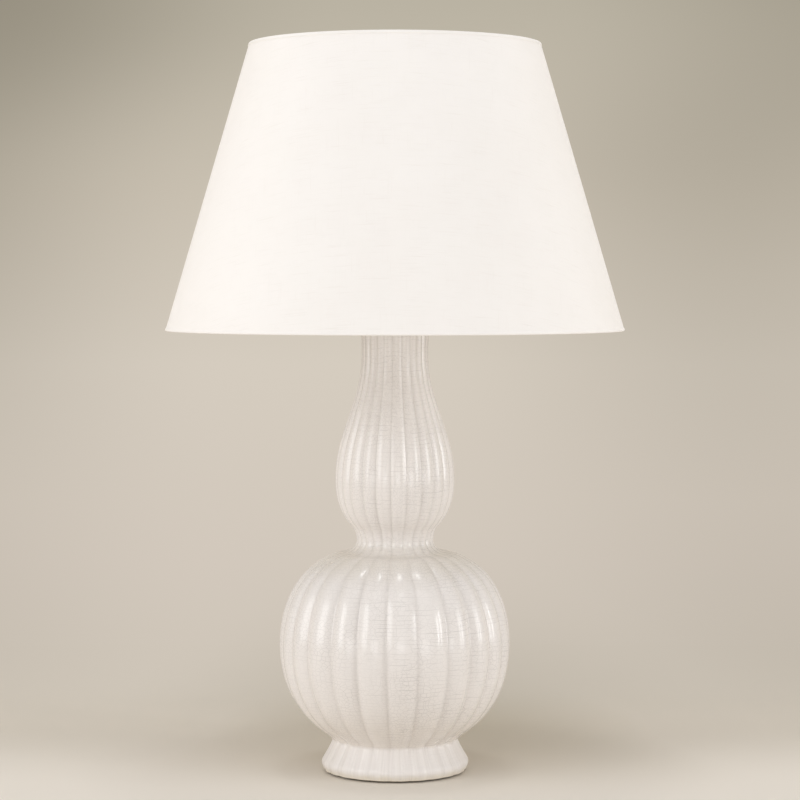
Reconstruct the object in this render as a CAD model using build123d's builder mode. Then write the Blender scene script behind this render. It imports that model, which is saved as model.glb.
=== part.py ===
from build123d import *
from math import cos, hypot, pi, radians, sin, sqrt
import os

# Fluted double gourd table lamp with a tapered fabric shade, in millimetres.
# Z is up, the felt under the foot stands on Z = 0 and the lamp's axis is the Z axis.
# The front of the lamp faces -Y and the flex enters at the back of the foot, on +Y.

# ---- glazed gourd: the outline, at the crests of its flutes ----
felt_thickness = 2.0
foot_bottom_radius = 72.3
foot_rim_radius = 75.0
foot_edge_height = 7.0
foot_rim_height = 9.6
foot_neck_radius = 62.3
foot_height = 34.0
foot_flare = 1.25
belly_radius = 116.0
belly_height = 126.5
belly_fullness = 2.9  # at the foot, easing towards the widest ring
belly_ease = 0.9
shoulder_height = 222.0
shoulder_fullness = 2.15
waist_radius = 38.5
waist_height = 231.0
waist_hollow = 4.8  # how far the waist opens, over its reach below and above
waist_drop = 5.5
waist_rise = 14.0
pear_start_height = 240.5
pear_radius = 59.8
pear_height = 295.5
pear_fullness = 2.55
neck_radius = 33.4
neck_height = 417.0
mouth_radius = 34.5
mouth_height = 454.0
flute_count = 24
flute_turn = 3.0  # a crest stands this many degrees to the right of the front
flute_share = 0.03  # flute depth over the local radius
foot_flute_share = 0.016
gourd_wall = 7.0
gourd_floor = 8.0
foot_wall = 11.0
foot_recess_height = 30.0

# ---- foot fittings ----
felt_inset = 3.5
pipe_radius = 4.9
pipe_bore_radius = 3.4
pipe_drop = 13.0  # how far the pipe reaches below the gourd's floor
pipe_hole_clearance = 0.9
plain_hole_clearance = 0.25
thread_clearance = 0.08
gasket_radius = 26.0
gasket_thickness = 1.5
plate_radius = 24.0
plate_thickness = 2.0
lock_washer_radius = 9.0
lock_washer_thickness = 1.2
nut_across_flats = 14.3
nut_thickness = 4.5
grommet_bore_radius = 3.75
grommet_barrel_radius = 6.0
grommet_flange_radius = 8.0
grommet_flange_thickness = 2.0
grommet_seat_y = 66.5
grommet_reach = 8.0
grommet_height = 16.0
grommet_clearance = 0.4
flex_hole_draft = 1.5  # the hole narrows inwards, as it is pierced in soft clay
seat_draft = 4.0
grommet_edge = 0.6

# ---- neck fittings ----
neck_gasket_thickness = 1.0
neck_gasket_width = 6.5
neck_gasket_inset = 0.4
cap_overhang = 1.6
cap_lip = 2.5
cap_sheet = 1.2
cap_flange_width = 9.0
cap_lean = 0.4  # how much nearer the axis the cone's inside is
cap_rise = 8.0
cap_top_radius = 9.5
check_ring_radius = 8.6
check_ring_thickness = 2.6
check_ring_knurls = 36
knurl_radius = 0.35
spacer_radius = 7.2
spacer_waist_radius = 6.4
spacer_bead = 2.2
spacer_length = 12.4

# ---- harp saddle ----
saddle_sheet = 1.6
saddle_width = 12.0
saddle_corner = 4.0
saddle_eye_radius = 9.0
harp_foot_x = 26.0
saddle_arm_height = 16.0
post_height = 7.2
post_root = 4.0
wire_radius = 2.0
harp_gap = 0.25

# ---- socket ----
socket_cap_radius = 19.7
socket_cap_height = 22.4
socket_cap_boss_radius = 8.0
socket_cap_boss_height = 7.5
socket_cap_dome = 7.5
socket_sheet = 0.8
shell_radius = 18.75
shell_overlap = 6.0
shell_top_height = 68.0  # above the saddle's underside
shell_bead_radius = 0.9
shell_bead_drop = 12.0
liner_sheet = 0.8
liner_gap = 0.15
liner_inset = 1.5
core_radius = 16.4
core_bottom_height = 20.0  # above the saddle's underside
core_top_height = 39.5
core_flat = 14.2  # distance of the flats from the axis
core_flat_height = 14.6
screw_shell_radius = 14.4
screw_shell_sheet = 0.5
screw_shell_flange = 7.0
screw_shell_length = 24.0
thread_pitch = 3.6
thread_depth = 0.6
contact_width = 6.0
contact_sheet = 0.5
contact_rise = 2.6
contact_reach = 5.5
terminal_height = 27.0  # above the saddle's underside
terminal_head_radius = 3.2
terminal_head_height = 1.8
terminal_shank_radius = 1.4
terminal_shank_length = 5.0
terminal_slot = 0.7
set_screw_radius = 1.5
set_screw_length = 4.4
pipe_in_cap = 8.4

# ---- switch ----
switch_height = 28.4  # shaft above the saddle's underside
shaft_radius = 2.0
shaft_clearance = 0.08
shaft_hole_radius = 3.2
shaft_depth = 9.0
shaft_end_gap = 0.5
knob_radius = 6.6
knob_length = 13.0
knob_gap = 3.4
knob_ribs = 14
knob_rib_radius = 0.9
knob_bore_depth = 9.0
knob_fit = 0.02

# ---- bulb ----
bulb_seat_gap = 0.3
bulb_cap_radius = 13.0
bulb_cap_top_height = 25.0  # above the bulb's tip
bulb_cap_sheet = 0.4
bulb_tip_radius = 4.6
bulb_tip_height = 1.6
bulb_insulator_height = 3.6
bulb_radius = 30.0
bulb_length = 110.0
bulb_taper_turn = 30.0  # where the round of the bulb runs into its taper
bulb_neck_radius = 11.7
bulb_neck_fillet = 16.0
bulb_neck_foot = 17.6  # above the bulb's tip
bulb_wall = 0.8
stem_flare_height = 1.5
stem_radius = 4.2
stem_height = 34.0
filament_wire = 0.4
filament_spread = 9.0
filament_rise = 16.0
filament_sag = 4.0

# ---- harp ----
harp_height = 229.0  # shade seat above the saddle's underside
harp_half_width = 54.0
harp_leg_straight = 36.0
harp_bow_rise = 62.0
harp_bend_radii = (48.0, 70.0, 36.0)
harp_eye_radius = 6.0
harp_eye_height = 4.0
ferrule_radius = 3.5
ferrule_length = 16.0
ferrule_clearance = 0.3
ferrule_groove = 0.35
ferrule_grooves = 3
ferrule_groove_pitch = 2.0
rivet_radius = 1.9
rivet_clearance = 0.08
rivet_head_radius = 3.6
rivet_head_height = 1.8
seat_radius = 9.5
seat_thickness = 2.0
stud_radius = 3.0
stud_length = 13.0
running_gap = 0.3

# ---- shade ----
shade_top_radius = 144.7
shade_bottom_radius = 228.7
shade_top_height = 727.4
shade_bottom_height = 442.6
fabric_sheet = 0.5
backing_sheet = 0.5
glue_gap = 0.05
hem_sheet = 0.45
hem_leg = 3.0
hem_tuck = 2.4
ring_wire_radius = 1.6
arm_wire_radius = 1.5
fitter_washer_radius = 11.5
fitter_washer_thickness = 1.6
fitter_arms = 3
fitter_bend_radius = 9.0
arm_root_inset = 0.8

# ---- finial ----
finial_foot_radius = 6.4
finial_foot_height = 2.2
finial_neck_radius = 4.8
finial_neck_height = 2.2
finial_ball_radius = 7.4
finial_button_radius = 2.2
finial_button_height = 1.8
finial_hole_depth = 12.5


# ---- places worked out from the sizes above ----
floor_underside = felt_thickness + foot_recess_height
floor_top = floor_underside + gourd_floor
pipe_bottom = floor_underside - pipe_drop
cap_base = mouth_height + neck_gasket_thickness
cap_top = cap_base + cap_rise
spacer_base = cap_top + check_ring_thickness
saddle_base = spacer_base + spacer_length
saddle_top = saddle_base + saddle_sheet
pipe_top = saddle_top + pipe_in_cap
post_base = saddle_base + saddle_arm_height
post_top = post_base + post_height
harp_foot = post_top + harp_gap
ferrule_base = post_base + running_gap
socket_cap_top = saddle_top + socket_cap_height
shell_bottom = socket_cap_top - shell_overlap
shell_top = saddle_base + shell_top_height
liner_outer = shell_radius - socket_sheet - liner_gap
core_bottom = saddle_base + core_bottom_height
core_top = saddle_base + core_top_height
switch_z = saddle_base + switch_height
knob_near = shell_radius + knob_gap
seat_top = saddle_base + harp_height
eye_top = seat_top - seat_thickness - running_gap
eye_bottom = eye_top - harp_eye_height
wire_top = (eye_top + eye_bottom) / 2
washer_bottom = seat_top + running_gap
washer_top = washer_bottom + fitter_washer_thickness
finial_base = washer_top + running_gap
bulb_tip_bottom = core_top + contact_rise + bulb_seat_gap
bulb_insulator_bottom = bulb_tip_bottom + bulb_tip_height
bulb_cap_bottom = bulb_insulator_bottom + bulb_insulator_height
bulb_cap_top = bulb_tip_bottom + bulb_cap_top_height
bulb_glass_bottom = bulb_tip_bottom + bulb_neck_foot
bulb_centre = bulb_tip_bottom + bulb_length - bulb_radius
top_ring_z = shade_top_height - hem_sheet - glue_gap - ring_wire_radius
bottom_ring_z = shade_bottom_height + hem_sheet + glue_gap + ring_wire_radius

os.makedirs("parts", exist_ok=True)


def shares(count):
    """Equal shares of a stretch, without its start and with its end."""
    return [k / count for k in range(1, count + 1)]


def gourd_runs():
    """The outline from the foot's crease to the mouth: runs of (radius, height), each begun where the last one ends."""
    belly = []
    for share in (0.1, 0.24, 0.4, 0.58, 0.78, 1.0):  # filling out from the foot
        swell = 1 - (1 - share) ** (belly_fullness - belly_ease * share)
        radius = foot_neck_radius + (belly_radius - foot_neck_radius) * swell
        belly.append((radius, foot_height + (belly_height - foot_height) * share))
    shoulder = []
    for turn in (18, 36, 52, 66, 77, 85):  # a full quarter oval closing on the waist
        inward = cos(radians(turn)) ** (2 / shoulder_fullness)
        upward = sin(radians(turn)) ** (2 / shoulder_fullness)
        radius = waist_radius + (belly_radius - waist_radius) * inward
        shoulder.append((radius, belly_height + (shoulder_height - belly_height) * upward))
    waist = []
    for turn in (-60, -30, 0, 30, 60):  # a hollow round the smallest ring
        reach = waist_rise if turn > 0 else waist_drop
        radius = waist_radius + waist_hollow * (1 - cos(radians(turn)))
        waist.append((radius, waist_height + reach * sin(radians(turn))))
    underside = []
    for share in (0.2, 0.34, 0.5, 0.72, 1.0):  # of the upper gourd
        swell = 1 - (1 - share) ** pear_fullness
        radius = waist_radius + (pear_radius - waist_radius) * swell
        underside.append((radius, pear_start_height + (pear_height - pear_start_height) * share))
    draw = []
    for share in shares(6):  # upper gourd drawing in to the neck, half a cosine wave
        radius = neck_radius + (pear_radius - neck_radius) * (1 + cos(pi * share)) / 2
        draw.append((radius, pear_height + (neck_height - pear_height) * share))
    opening = []
    for share in shares(2):  # neck opening a little to the mouth
        radius = neck_radius + (mouth_radius - neck_radius) * share**2
        opening.append((radius, neck_height + (mouth_height - neck_height) * share))
    runs = []
    start = (foot_neck_radius, foot_height)
    for run in (belly, shoulder, waist, underside, draw, opening):
        runs.append([start, *run])
        start = run[-1]
    return runs


def foot_stations():
    """(radius, height, flute depth) down the foot, from the belly's crease to its underside."""
    stations = [(foot_neck_radius, foot_height, foot_neck_radius * flute_share)]
    for share in shares(3):
        radius = foot_neck_radius + (foot_rim_radius - foot_neck_radius) * share**foot_flare
        height = foot_height + (foot_rim_height - foot_height) * share
        stations.append((radius, height, foot_rim_radius * foot_flute_share))
    stations.append((foot_rim_radius, foot_edge_height, foot_rim_radius * foot_flute_share))
    stations.append((foot_bottom_radius, felt_thickness, foot_rim_radius * foot_flute_share))
    return stations


def inner_stations():
    """The outline moved in by the wall, square to the surface, above the floor."""
    outer = [station for run in gourd_runs() for station in run[:-1]]
    outer.append((mouth_radius, mouth_height))
    inner = []
    for below, here, above in zip(outer, outer[1:], outer[2:]):
        run, rise = above[0] - below[0], above[1] - below[1]
        span = hypot(run, rise)
        radius = here[0] - gourd_wall * rise / span
        height = here[1] + gourd_wall * run / span
        if floor_top + gourd_wall < height < mouth_height - gourd_wall:
            inner.append((radius, height))
    return inner


def crest_point(radius, turn):
    """A point on a ring, turned from the front (-Y) towards +X by turn degrees."""
    return (radius * sin(radians(turn)), -radius * cos(radians(turn)))


def fluted_ring(radius, depth):
    """One level of the gourd: a ring of convex flutes, drawn in the current line."""
    pitch = 360 / flute_count
    for k in range(flute_count):
        turn = flute_turn + k * pitch
        ThreePointArc(
            crest_point(radius - depth, turn - pitch / 2),
            crest_point(radius, turn),
            crest_point(radius - depth, turn + pitch / 2),
        )


# ---- base ----
with BuildPart() as gourd_body:
    for run in gourd_runs():
        for radius, height in run:
            with BuildSketch(Plane.XY.offset(height)):
                with BuildLine():
                    fluted_ring(radius, radius * flute_share)
                make_face()
        loft()
    foot = foot_stations()
    for (low_radius, low, low_depth), (high_radius, high, high_depth) in zip(foot[1:], foot):
        with BuildSketch(Plane.XY.offset(low)):
            with BuildLine():
                fluted_ring(low_radius, low_depth)
            make_face()
        with BuildSketch(Plane.XY.offset(high)):
            with BuildLine():
                fluted_ring(high_radius, high_depth)
            make_face()
        loft(ruled=True)
    # hollow of the vase, from the floor to the mouth
    hollow = inner_stations()
    bore_radius = mouth_radius - gourd_wall
    with BuildSketch(Plane.XZ):
        with BuildLine():
            Polyline(
                (0, mouth_height),
                (0, floor_top),
                (foot_neck_radius, floor_top),
                *hollow,
                (bore_radius, mouth_height),
                close=True,
            )
        make_face()
    revolve(axis=Axis.Z, mode=Mode.SUBTRACT)
    # recess under the foot, and the pipe's hole through the floor
    with BuildSketch(Plane.XZ):
        with BuildLine():
            Polyline(
                (0, felt_thickness),
                (foot_bottom_radius - foot_wall, felt_thickness),
                (foot_neck_radius - foot_wall, floor_underside),
                (0, floor_underside),
                close=True,
            )
        make_face()
    revolve(axis=Axis.Z, mode=Mode.SUBTRACT)
    with BuildSketch(Plane.XY.offset(floor_underside)):
        Circle(pipe_radius + pipe_hole_clearance)
    extrude(amount=gourd_floor, mode=Mode.SUBTRACT)
    # drafted hole for the flex's grommet, with a flat seat, at the back of the foot
    with BuildSketch(Plane.XZ.offset(-grommet_seat_y)):
        with Locations((0, grommet_height)):
            Circle(grommet_flange_radius + grommet_clearance)
    extrude(amount=-grommet_reach, taper=-seat_draft, mode=Mode.SUBTRACT)
    with BuildSketch(Plane.XZ.offset(-grommet_seat_y)):
        with Locations((0, grommet_height)):
            Circle(grommet_barrel_radius + grommet_clearance)
    extrude(amount=grommet_reach + foot_wall, taper=flex_hole_draft, mode=Mode.SUBTRACT)
gourd_body.part.label = "gourd_body"
export_step(gourd_body.part, "parts/gourd_body.step")

with BuildPart() as felt_pad:
    with BuildSketch():
        Circle(foot_bottom_radius * (1 - foot_flute_share) - felt_inset)
    extrude(amount=felt_thickness)
felt_pad.part.label = "felt_pad"
export_step(felt_pad.part, "parts/felt_pad.step")

with BuildPart() as cord_grommet:
    with BuildSketch(Plane.XZ.offset(-grommet_seat_y)):
        with Locations((0, grommet_height)):
            Circle(grommet_flange_radius)
    extrude(amount=-grommet_flange_thickness)
    fillet(cord_grommet.edges().group_by(Axis.Y)[-1], radius=grommet_edge)
    with BuildSketch(Plane.XZ.offset(-grommet_seat_y)):
        with Locations((0, grommet_height)):
            Circle(grommet_barrel_radius)
    extrude(amount=grommet_reach)
    with BuildSketch(Plane.XZ.offset(-grommet_seat_y - grommet_flange_thickness)):
        with Locations((0, grommet_height)):
            Circle(grommet_bore_radius)
    extrude(amount=grommet_reach + grommet_flange_thickness, mode=Mode.SUBTRACT)
cord_grommet.part.label = "cord_grommet"
export_step(cord_grommet.part, "parts/cord_grommet.step")

# ---- pipe and the stack that clamps the gourd on it ----
with BuildPart() as lamp_pipe:
    with BuildSketch(Plane.XY.offset(pipe_bottom)):
        Circle(pipe_radius)
        Circle(pipe_bore_radius, mode=Mode.SUBTRACT)
    extrude(amount=pipe_top - pipe_bottom)
lamp_pipe.part.label = "lamp_pipe"
export_step(lamp_pipe.part, "parts/lamp_pipe.step")

with BuildPart() as base_gasket:
    with BuildSketch(Plane.XY.offset(floor_underside - gasket_thickness)):
        Circle(gasket_radius)
        Circle(pipe_radius + plain_hole_clearance, mode=Mode.SUBTRACT)
    extrude(amount=gasket_thickness)
base_gasket.part.label = "base_gasket"
export_step(base_gasket.part, "parts/base_gasket.step")

plate_base = floor_underside - gasket_thickness - plate_thickness
with BuildPart() as base_plate:
    with BuildSketch(Plane.XY.offset(plate_base)):
        Circle(plate_radius)
        Circle(pipe_radius + plain_hole_clearance, mode=Mode.SUBTRACT)
    extrude(amount=plate_thickness)
base_plate.part.label = "base_plate"
export_step(base_plate.part, "parts/base_plate.step")

with BuildPart() as lock_washer:
    with BuildSketch(Plane.XY.offset(plate_base - lock_washer_thickness)):
        Circle(lock_washer_radius)
        Circle(pipe_radius + plain_hole_clearance, mode=Mode.SUBTRACT)
        with Locations((lock_washer_radius, 0)):
            Rectangle(lock_washer_radius, lock_washer_thickness, mode=Mode.SUBTRACT)
    extrude(amount=lock_washer_thickness)
lock_washer.part.label = "lock_washer"
export_step(lock_washer.part, "parts/lock_washer.step")

with BuildPart() as base_nut:
    with BuildSketch(Plane.XY.offset(plate_base - lock_washer_thickness - nut_thickness)):
        RegularPolygon(nut_across_flats / 2, side_count=6, major_radius=False)
        Circle(pipe_radius + thread_clearance, mode=Mode.SUBTRACT)
    extrude(amount=nut_thickness)
base_nut.part.label = "base_nut"
export_step(base_nut.part, "parts/base_nut.step")

with BuildPart() as neck_gasket:
    neck_gasket_outer = mouth_radius * (1 - flute_share) - neck_gasket_inset
    with BuildSketch(Plane.XY.offset(mouth_height)):
        Circle(neck_gasket_outer)
        Circle(neck_gasket_outer - neck_gasket_width, mode=Mode.SUBTRACT)
    extrude(amount=neck_gasket_thickness)
neck_gasket.part.label = "neck_gasket"
export_step(neck_gasket.part, "parts/neck_gasket.step")

with BuildPart() as neck_cap:
    rim_radius = mouth_radius + cap_overhang
    cone_radius = rim_radius - cap_flange_width
    hole_radius = pipe_radius + plain_hole_clearance
    with BuildSketch(Plane.XZ):
        with BuildLine():
            Polyline(
                (rim_radius, cap_base - cap_lip),
                (rim_radius, cap_base + cap_sheet),
                (cone_radius, cap_base + cap_sheet),
                (cap_top_radius, cap_top),
                (hole_radius, cap_top),
                (hole_radius, cap_top - cap_sheet),
                (cap_top_radius - cap_lean, cap_top - cap_sheet),
                (cone_radius - cap_lean, cap_base),
                (rim_radius - cap_sheet, cap_base),
                (rim_radius - cap_sheet, cap_base - cap_lip),
                close=True,
            )
        make_face()
    revolve(axis=Axis.Z)
neck_cap.part.label = "neck_cap"
export_step(neck_cap.part, "parts/neck_cap.step")

with BuildPart() as check_ring:
    with BuildSketch(Plane.XY.offset(cap_top)):
        Circle(check_ring_radius)
        Circle(pipe_radius + thread_clearance, mode=Mode.SUBTRACT)
        with PolarLocations(check_ring_radius, check_ring_knurls):
            Circle(knurl_radius, mode=Mode.SUBTRACT)
    extrude(amount=check_ring_thickness)
check_ring.part.label = "check_ring"
export_step(check_ring.part, "parts/check_ring.step")

with BuildPart() as neck_spacer:
    hole_radius = pipe_radius + plain_hole_clearance
    with BuildSketch(Plane.XZ):
        with BuildLine():
            Polyline(
                (spacer_waist_radius, saddle_base - spacer_bead),
                (spacer_radius, saddle_base - spacer_bead),
                (spacer_radius, saddle_base),
                (hole_radius, saddle_base),
                (hole_radius, spacer_base),
                (spacer_radius, spacer_base),
                (spacer_radius, spacer_base + spacer_bead),
                (spacer_waist_radius, spacer_base + spacer_bead),
                close=True,
            )
        make_face()
    revolve(axis=Axis.Z)
neck_spacer.part.label = "neck_spacer"
export_step(neck_spacer.part, "parts/neck_spacer.step")

# ---- harp saddle: a strip bent up on both sides, with a post at each end ----
with BuildPart() as harp_saddle:
    outer_x = harp_foot_x + saddle_sheet / 2
    inner_x = harp_foot_x - saddle_sheet / 2
    inner_corner = saddle_corner - saddle_sheet
    with BuildSketch(Plane.XZ):
        with BuildLine():
            FilletPolyline(
                (-outer_x, post_base),
                (-outer_x, saddle_base),
                (outer_x, saddle_base),
                (outer_x, post_base),
                radius=saddle_corner,
            )
            FilletPolyline(
                (-inner_x, post_base),
                (-inner_x, saddle_top),
                (inner_x, saddle_top),
                (inner_x, post_base),
                radius=inner_corner,
            )
            Line((-outer_x, post_base), (-inner_x, post_base))
            Line((inner_x, post_base), (outer_x, post_base))
        make_face()
    extrude(amount=saddle_width / 2, both=True)
    with BuildSketch(Plane.XY.offset(saddle_base)):
        Circle(saddle_eye_radius)
    extrude(amount=saddle_sheet)
    with BuildSketch(Plane.XY.offset(post_base - post_root)):
        with Locations((-harp_foot_x, 0), (harp_foot_x, 0)):
            Circle(wire_radius)
    extrude(amount=post_root + post_height)
    with BuildSketch(Plane.XY.offset(saddle_base)):
        Circle(pipe_radius + plain_hole_clearance)
    extrude(amount=saddle_sheet, mode=Mode.SUBTRACT)
harp_saddle.part.label = "harp_saddle"
export_step(harp_saddle.part, "parts/harp_saddle.step")

# ---- socket, from its cap outwards in ----
with BuildPart() as socket_cap:
    boss_top = saddle_top + socket_cap_boss_height
    dome_top = boss_top + socket_cap_dome
    dome_reach = socket_cap_radius - socket_cap_boss_radius
    hole_radius = pipe_radius + thread_clearance
    with BuildSketch(Plane.XZ):
        with BuildLine():
            Polyline(
                (socket_cap_boss_radius, boss_top),
                (socket_cap_boss_radius, saddle_top),
                (hole_radius, saddle_top),
                (hole_radius, boss_top + socket_sheet),
                (socket_cap_boss_radius, boss_top + socket_sheet),
            )
            EllipticalCenterArc(
                (socket_cap_boss_radius, dome_top),
                dome_reach - socket_sheet, socket_cap_dome - socket_sheet,
                start_angle=270, arc_size=90,
            )
            Polyline(
                (socket_cap_radius - socket_sheet, dome_top),
                (socket_cap_radius - socket_sheet, socket_cap_top),
                (socket_cap_radius, socket_cap_top),
                (socket_cap_radius, dome_top),
            )
            EllipticalCenterArc(
                (socket_cap_boss_radius, dome_top), dome_reach, socket_cap_dome,
                start_angle=270, arc_size=90,
            )
        make_face()
    revolve(axis=Axis.Z)
    set_screw_z = saddle_top + socket_cap_boss_height / 2
    with BuildSketch(Plane.XZ.offset(-pipe_radius)):
        with Locations((0, set_screw_z)):
            Circle(set_screw_radius + thread_clearance)
    extrude(amount=-socket_cap_boss_radius, mode=Mode.SUBTRACT)
socket_cap.part.label = "socket_cap"
export_step(socket_cap.part, "parts/socket_cap.step")

with BuildPart() as set_screw:
    with BuildSketch(Plane.XZ.offset(-pipe_radius - thread_clearance)):
        with Locations((0, set_screw_z)):
            Circle(set_screw_radius)
    extrude(amount=-set_screw_length)
    with BuildSketch(Plane.XZ.offset(-pipe_radius - thread_clearance - set_screw_length)):
        with Locations((0, set_screw_z)):
            Rectangle(2 * set_screw_radius, set_screw_radius / 3)
    extrude(amount=set_screw_radius / 2, mode=Mode.SUBTRACT)
set_screw.part.label = "set_screw"
export_step(set_screw.part, "parts/set_screw.step")

with BuildPart() as socket_shell:
    bead_z = shell_top - shell_bead_drop
    with BuildSketch(Plane.XY.offset(shell_bottom)):
        Circle(shell_radius)
    extrude(amount=shell_top - shell_bottom)
    with BuildSketch(Plane.XZ):
        with Locations((shell_radius, bead_z)):
            Circle(shell_bead_radius)
    revolve(axis=Axis.Z)
    with BuildSketch(Plane.XY.offset(shell_bottom)):
        Circle(shell_radius - socket_sheet)
    extrude(amount=shell_top - shell_bottom, mode=Mode.SUBTRACT)
    with BuildSketch(Plane.XZ):
        with Locations((0, switch_z)):
            Circle(shaft_hole_radius)
    extrude(amount=knob_near, mode=Mode.SUBTRACT)
socket_shell.part.label = "socket_shell"
export_step(socket_shell.part, "parts/socket_shell.step")

with BuildPart() as socket_liner:
    liner_bottom = shell_bottom + liner_inset
    with BuildSketch(Plane.XY.offset(liner_bottom)):
        Circle(liner_outer)
        Circle(liner_outer - liner_sheet, mode=Mode.SUBTRACT)
    extrude(amount=shell_top - liner_inset - liner_bottom)
    with BuildSketch(Plane.XZ):
        with Locations((0, switch_z)):
            Circle(shaft_hole_radius)
    extrude(amount=shell_radius, mode=Mode.SUBTRACT)
socket_liner.part.label = "socket_liner"
export_step(socket_liner.part, "parts/socket_liner.step")

with BuildPart() as socket_core:
    terminal_z = saddle_base + terminal_height
    shaft_end = core_radius - shaft_depth
    with BuildSketch(Plane.XY.offset(core_bottom)):
        Circle(core_radius)
    extrude(amount=core_top - core_bottom)
    with BuildSketch(Plane.XY.offset(core_bottom)):
        with Locations((-core_radius, 0), (core_radius, 0)):
            Rectangle(2 * (core_radius - core_flat), core_radius)
    extrude(amount=core_flat_height, mode=Mode.SUBTRACT)
    for side in (-1, 1):
        with BuildSketch(Plane.YZ.offset(side * core_flat)):
            with Locations((0, terminal_z)):
                Circle(terminal_shank_radius + thread_clearance)
        extrude(amount=-side * (terminal_shank_length + terminal_slot), mode=Mode.SUBTRACT)
    with BuildSketch(Plane.XZ.offset(core_radius - shaft_depth)):
        with Locations((0, switch_z)):
            Circle(shaft_radius + shaft_clearance)
    extrude(amount=shaft_depth, mode=Mode.SUBTRACT)
socket_core.part.label = "socket_core"
export_step(socket_core.part, "parts/socket_core.step")

for side, metal in ((-1, "silver"), (1, "brass")):
    with BuildPart() as terminal_screw:
        with BuildSketch(Plane.YZ.offset(side * core_flat)):
            with Locations((0, terminal_z)):
                Circle(terminal_head_radius)
        extrude(amount=side * terminal_head_height)
        with BuildSketch(Plane.YZ.offset(side * core_flat)):
            with Locations((0, terminal_z)):
                Circle(terminal_shank_radius)
        extrude(amount=-side * terminal_shank_length)
        with BuildSketch(Plane.YZ.offset(side * (core_flat + terminal_head_height))):
            with Locations((0, terminal_z)):
                Rectangle(2 * terminal_head_radius, terminal_slot)
        extrude(amount=-side * terminal_slot, mode=Mode.SUBTRACT)
    terminal_screw.part.label = f"terminal_screw_{metal}"
    export_step(terminal_screw.part, f"parts/terminal_screw_{metal}.step")


def rolled_thread(radius, bottom, top):
    """(radius, height) pairs of a rolled thread's rings, from bottom to top."""
    steps = round((top - bottom) / thread_pitch * 4)
    depths = (0, thread_depth / 2, thread_depth, thread_depth / 2)
    return [(radius - depths[k % 4], bottom + (top - bottom) * k / steps) for k in range(steps + 1)]


with BuildPart() as screw_shell:
    wall_base = core_top + thread_pitch
    outer_wall = rolled_thread(screw_shell_radius, wall_base, core_top + screw_shell_length)
    inner_wall = [(radius - screw_shell_sheet, height) for radius, height in outer_wall]
    with BuildSketch(Plane.XZ):
        with BuildLine():
            Polyline(
                (screw_shell_flange, core_top),
                (screw_shell_radius, core_top),
                *outer_wall,
                *reversed(inner_wall),
                (screw_shell_radius - screw_shell_sheet, core_top + screw_shell_sheet),
                (screw_shell_flange, core_top + screw_shell_sheet),
                close=True,
            )
        make_face()
    revolve(axis=Axis.Z)
screw_shell.part.label = "screw_shell"
export_step(screw_shell.part, "parts/screw_shell.step")

with BuildPart() as centre_contact:
    with BuildSketch(Plane.XZ):
        with BuildLine():
            Polyline(
                (-contact_reach, core_top),
                (-contact_reach / 3, core_top),
                (contact_reach / 3, core_top + contact_rise - contact_sheet),
                (contact_reach, core_top + contact_rise - 2 * contact_sheet),
                (contact_reach, core_top + contact_rise - contact_sheet),
                (contact_reach / 3, core_top + contact_rise),
                (-contact_reach / 3, core_top + contact_sheet),
                (-contact_reach, core_top + contact_sheet),
                close=True,
            )
        make_face()
    extrude(amount=contact_width / 2, both=True)
centre_contact.part.label = "centre_contact"
export_step(centre_contact.part, "parts/centre_contact.step")

# ---- switch ----
with BuildPart() as switch_shaft:
    with BuildSketch(Plane.XZ.offset(shaft_end + shaft_end_gap)):
        with Locations((0, switch_z)):
            Circle(shaft_radius)
    extrude(amount=knob_near + knob_bore_depth - shaft_end - shaft_end_gap)
switch_shaft.part.label = "switch_shaft"
export_step(switch_shaft.part, "parts/switch_shaft.step")

with BuildPart() as switch_knob:
    with BuildSketch(Plane.XZ.offset(knob_near)):
        with Locations((0, switch_z)):
            Circle(knob_radius)
    extrude(amount=knob_length)
    chamfer(switch_knob.edges().group_by(Axis.Y)[0], length=knob_rib_radius)
    with BuildSketch(Plane.XZ.offset(knob_near)):
        with Locations((0, switch_z)):
            with PolarLocations(knob_radius, knob_ribs):
                Circle(knob_rib_radius)
    extrude(amount=knob_length, mode=Mode.SUBTRACT)
    with BuildSketch(Plane.XZ.offset(knob_near)):
        with Locations((0, switch_z)):
            Circle(shaft_radius + knob_fit)
    extrude(amount=knob_bore_depth, mode=Mode.SUBTRACT)
switch_knob.part.label = "switch_knob"
export_step(switch_knob.part, "parts/switch_knob.step")

# ---- bulb ----
with BuildPart() as bulb_tip:
    with BuildSketch(Plane.XY.offset(bulb_tip_bottom)):
        Circle(bulb_tip_radius)
    extrude(amount=bulb_tip_height)
    fillet(bulb_tip.edges().group_by(Axis.Z)[0], radius=bulb_tip_height / 2)
bulb_tip.part.label = "bulb_tip"
export_step(bulb_tip.part, "parts/bulb_tip.step")

with BuildPart() as bulb_insulator:
    cap_inner_radius = bulb_cap_radius - thread_depth - bulb_cap_sheet
    with BuildSketch(Plane.XZ):
        with BuildLine():
            Polyline(
                (0, bulb_insulator_bottom),
                (bulb_tip_radius + bulb_tip_height, bulb_insulator_bottom),
                (cap_inner_radius, bulb_cap_bottom),
                (0, bulb_cap_bottom),
                close=True,
            )
        make_face()
    revolve(axis=Axis.Z)
bulb_insulator.part.label = "bulb_insulator"
export_step(bulb_insulator.part, "parts/bulb_insulator.step")

with BuildPart() as bulb_cap:
    outer_wall = rolled_thread(bulb_cap_radius, bulb_cap_bottom, bulb_cap_top)
    inner_wall = [(radius - bulb_cap_sheet, height) for radius, height in outer_wall]
    with BuildSketch(Plane.XZ):
        with BuildLine():
            Polyline(*outer_wall, *reversed(inner_wall), close=True)
        make_face()
    revolve(axis=Axis.Z)
bulb_cap.part.label = "bulb_cap"
export_step(bulb_cap.part, "parts/bulb_cap.step")


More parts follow.
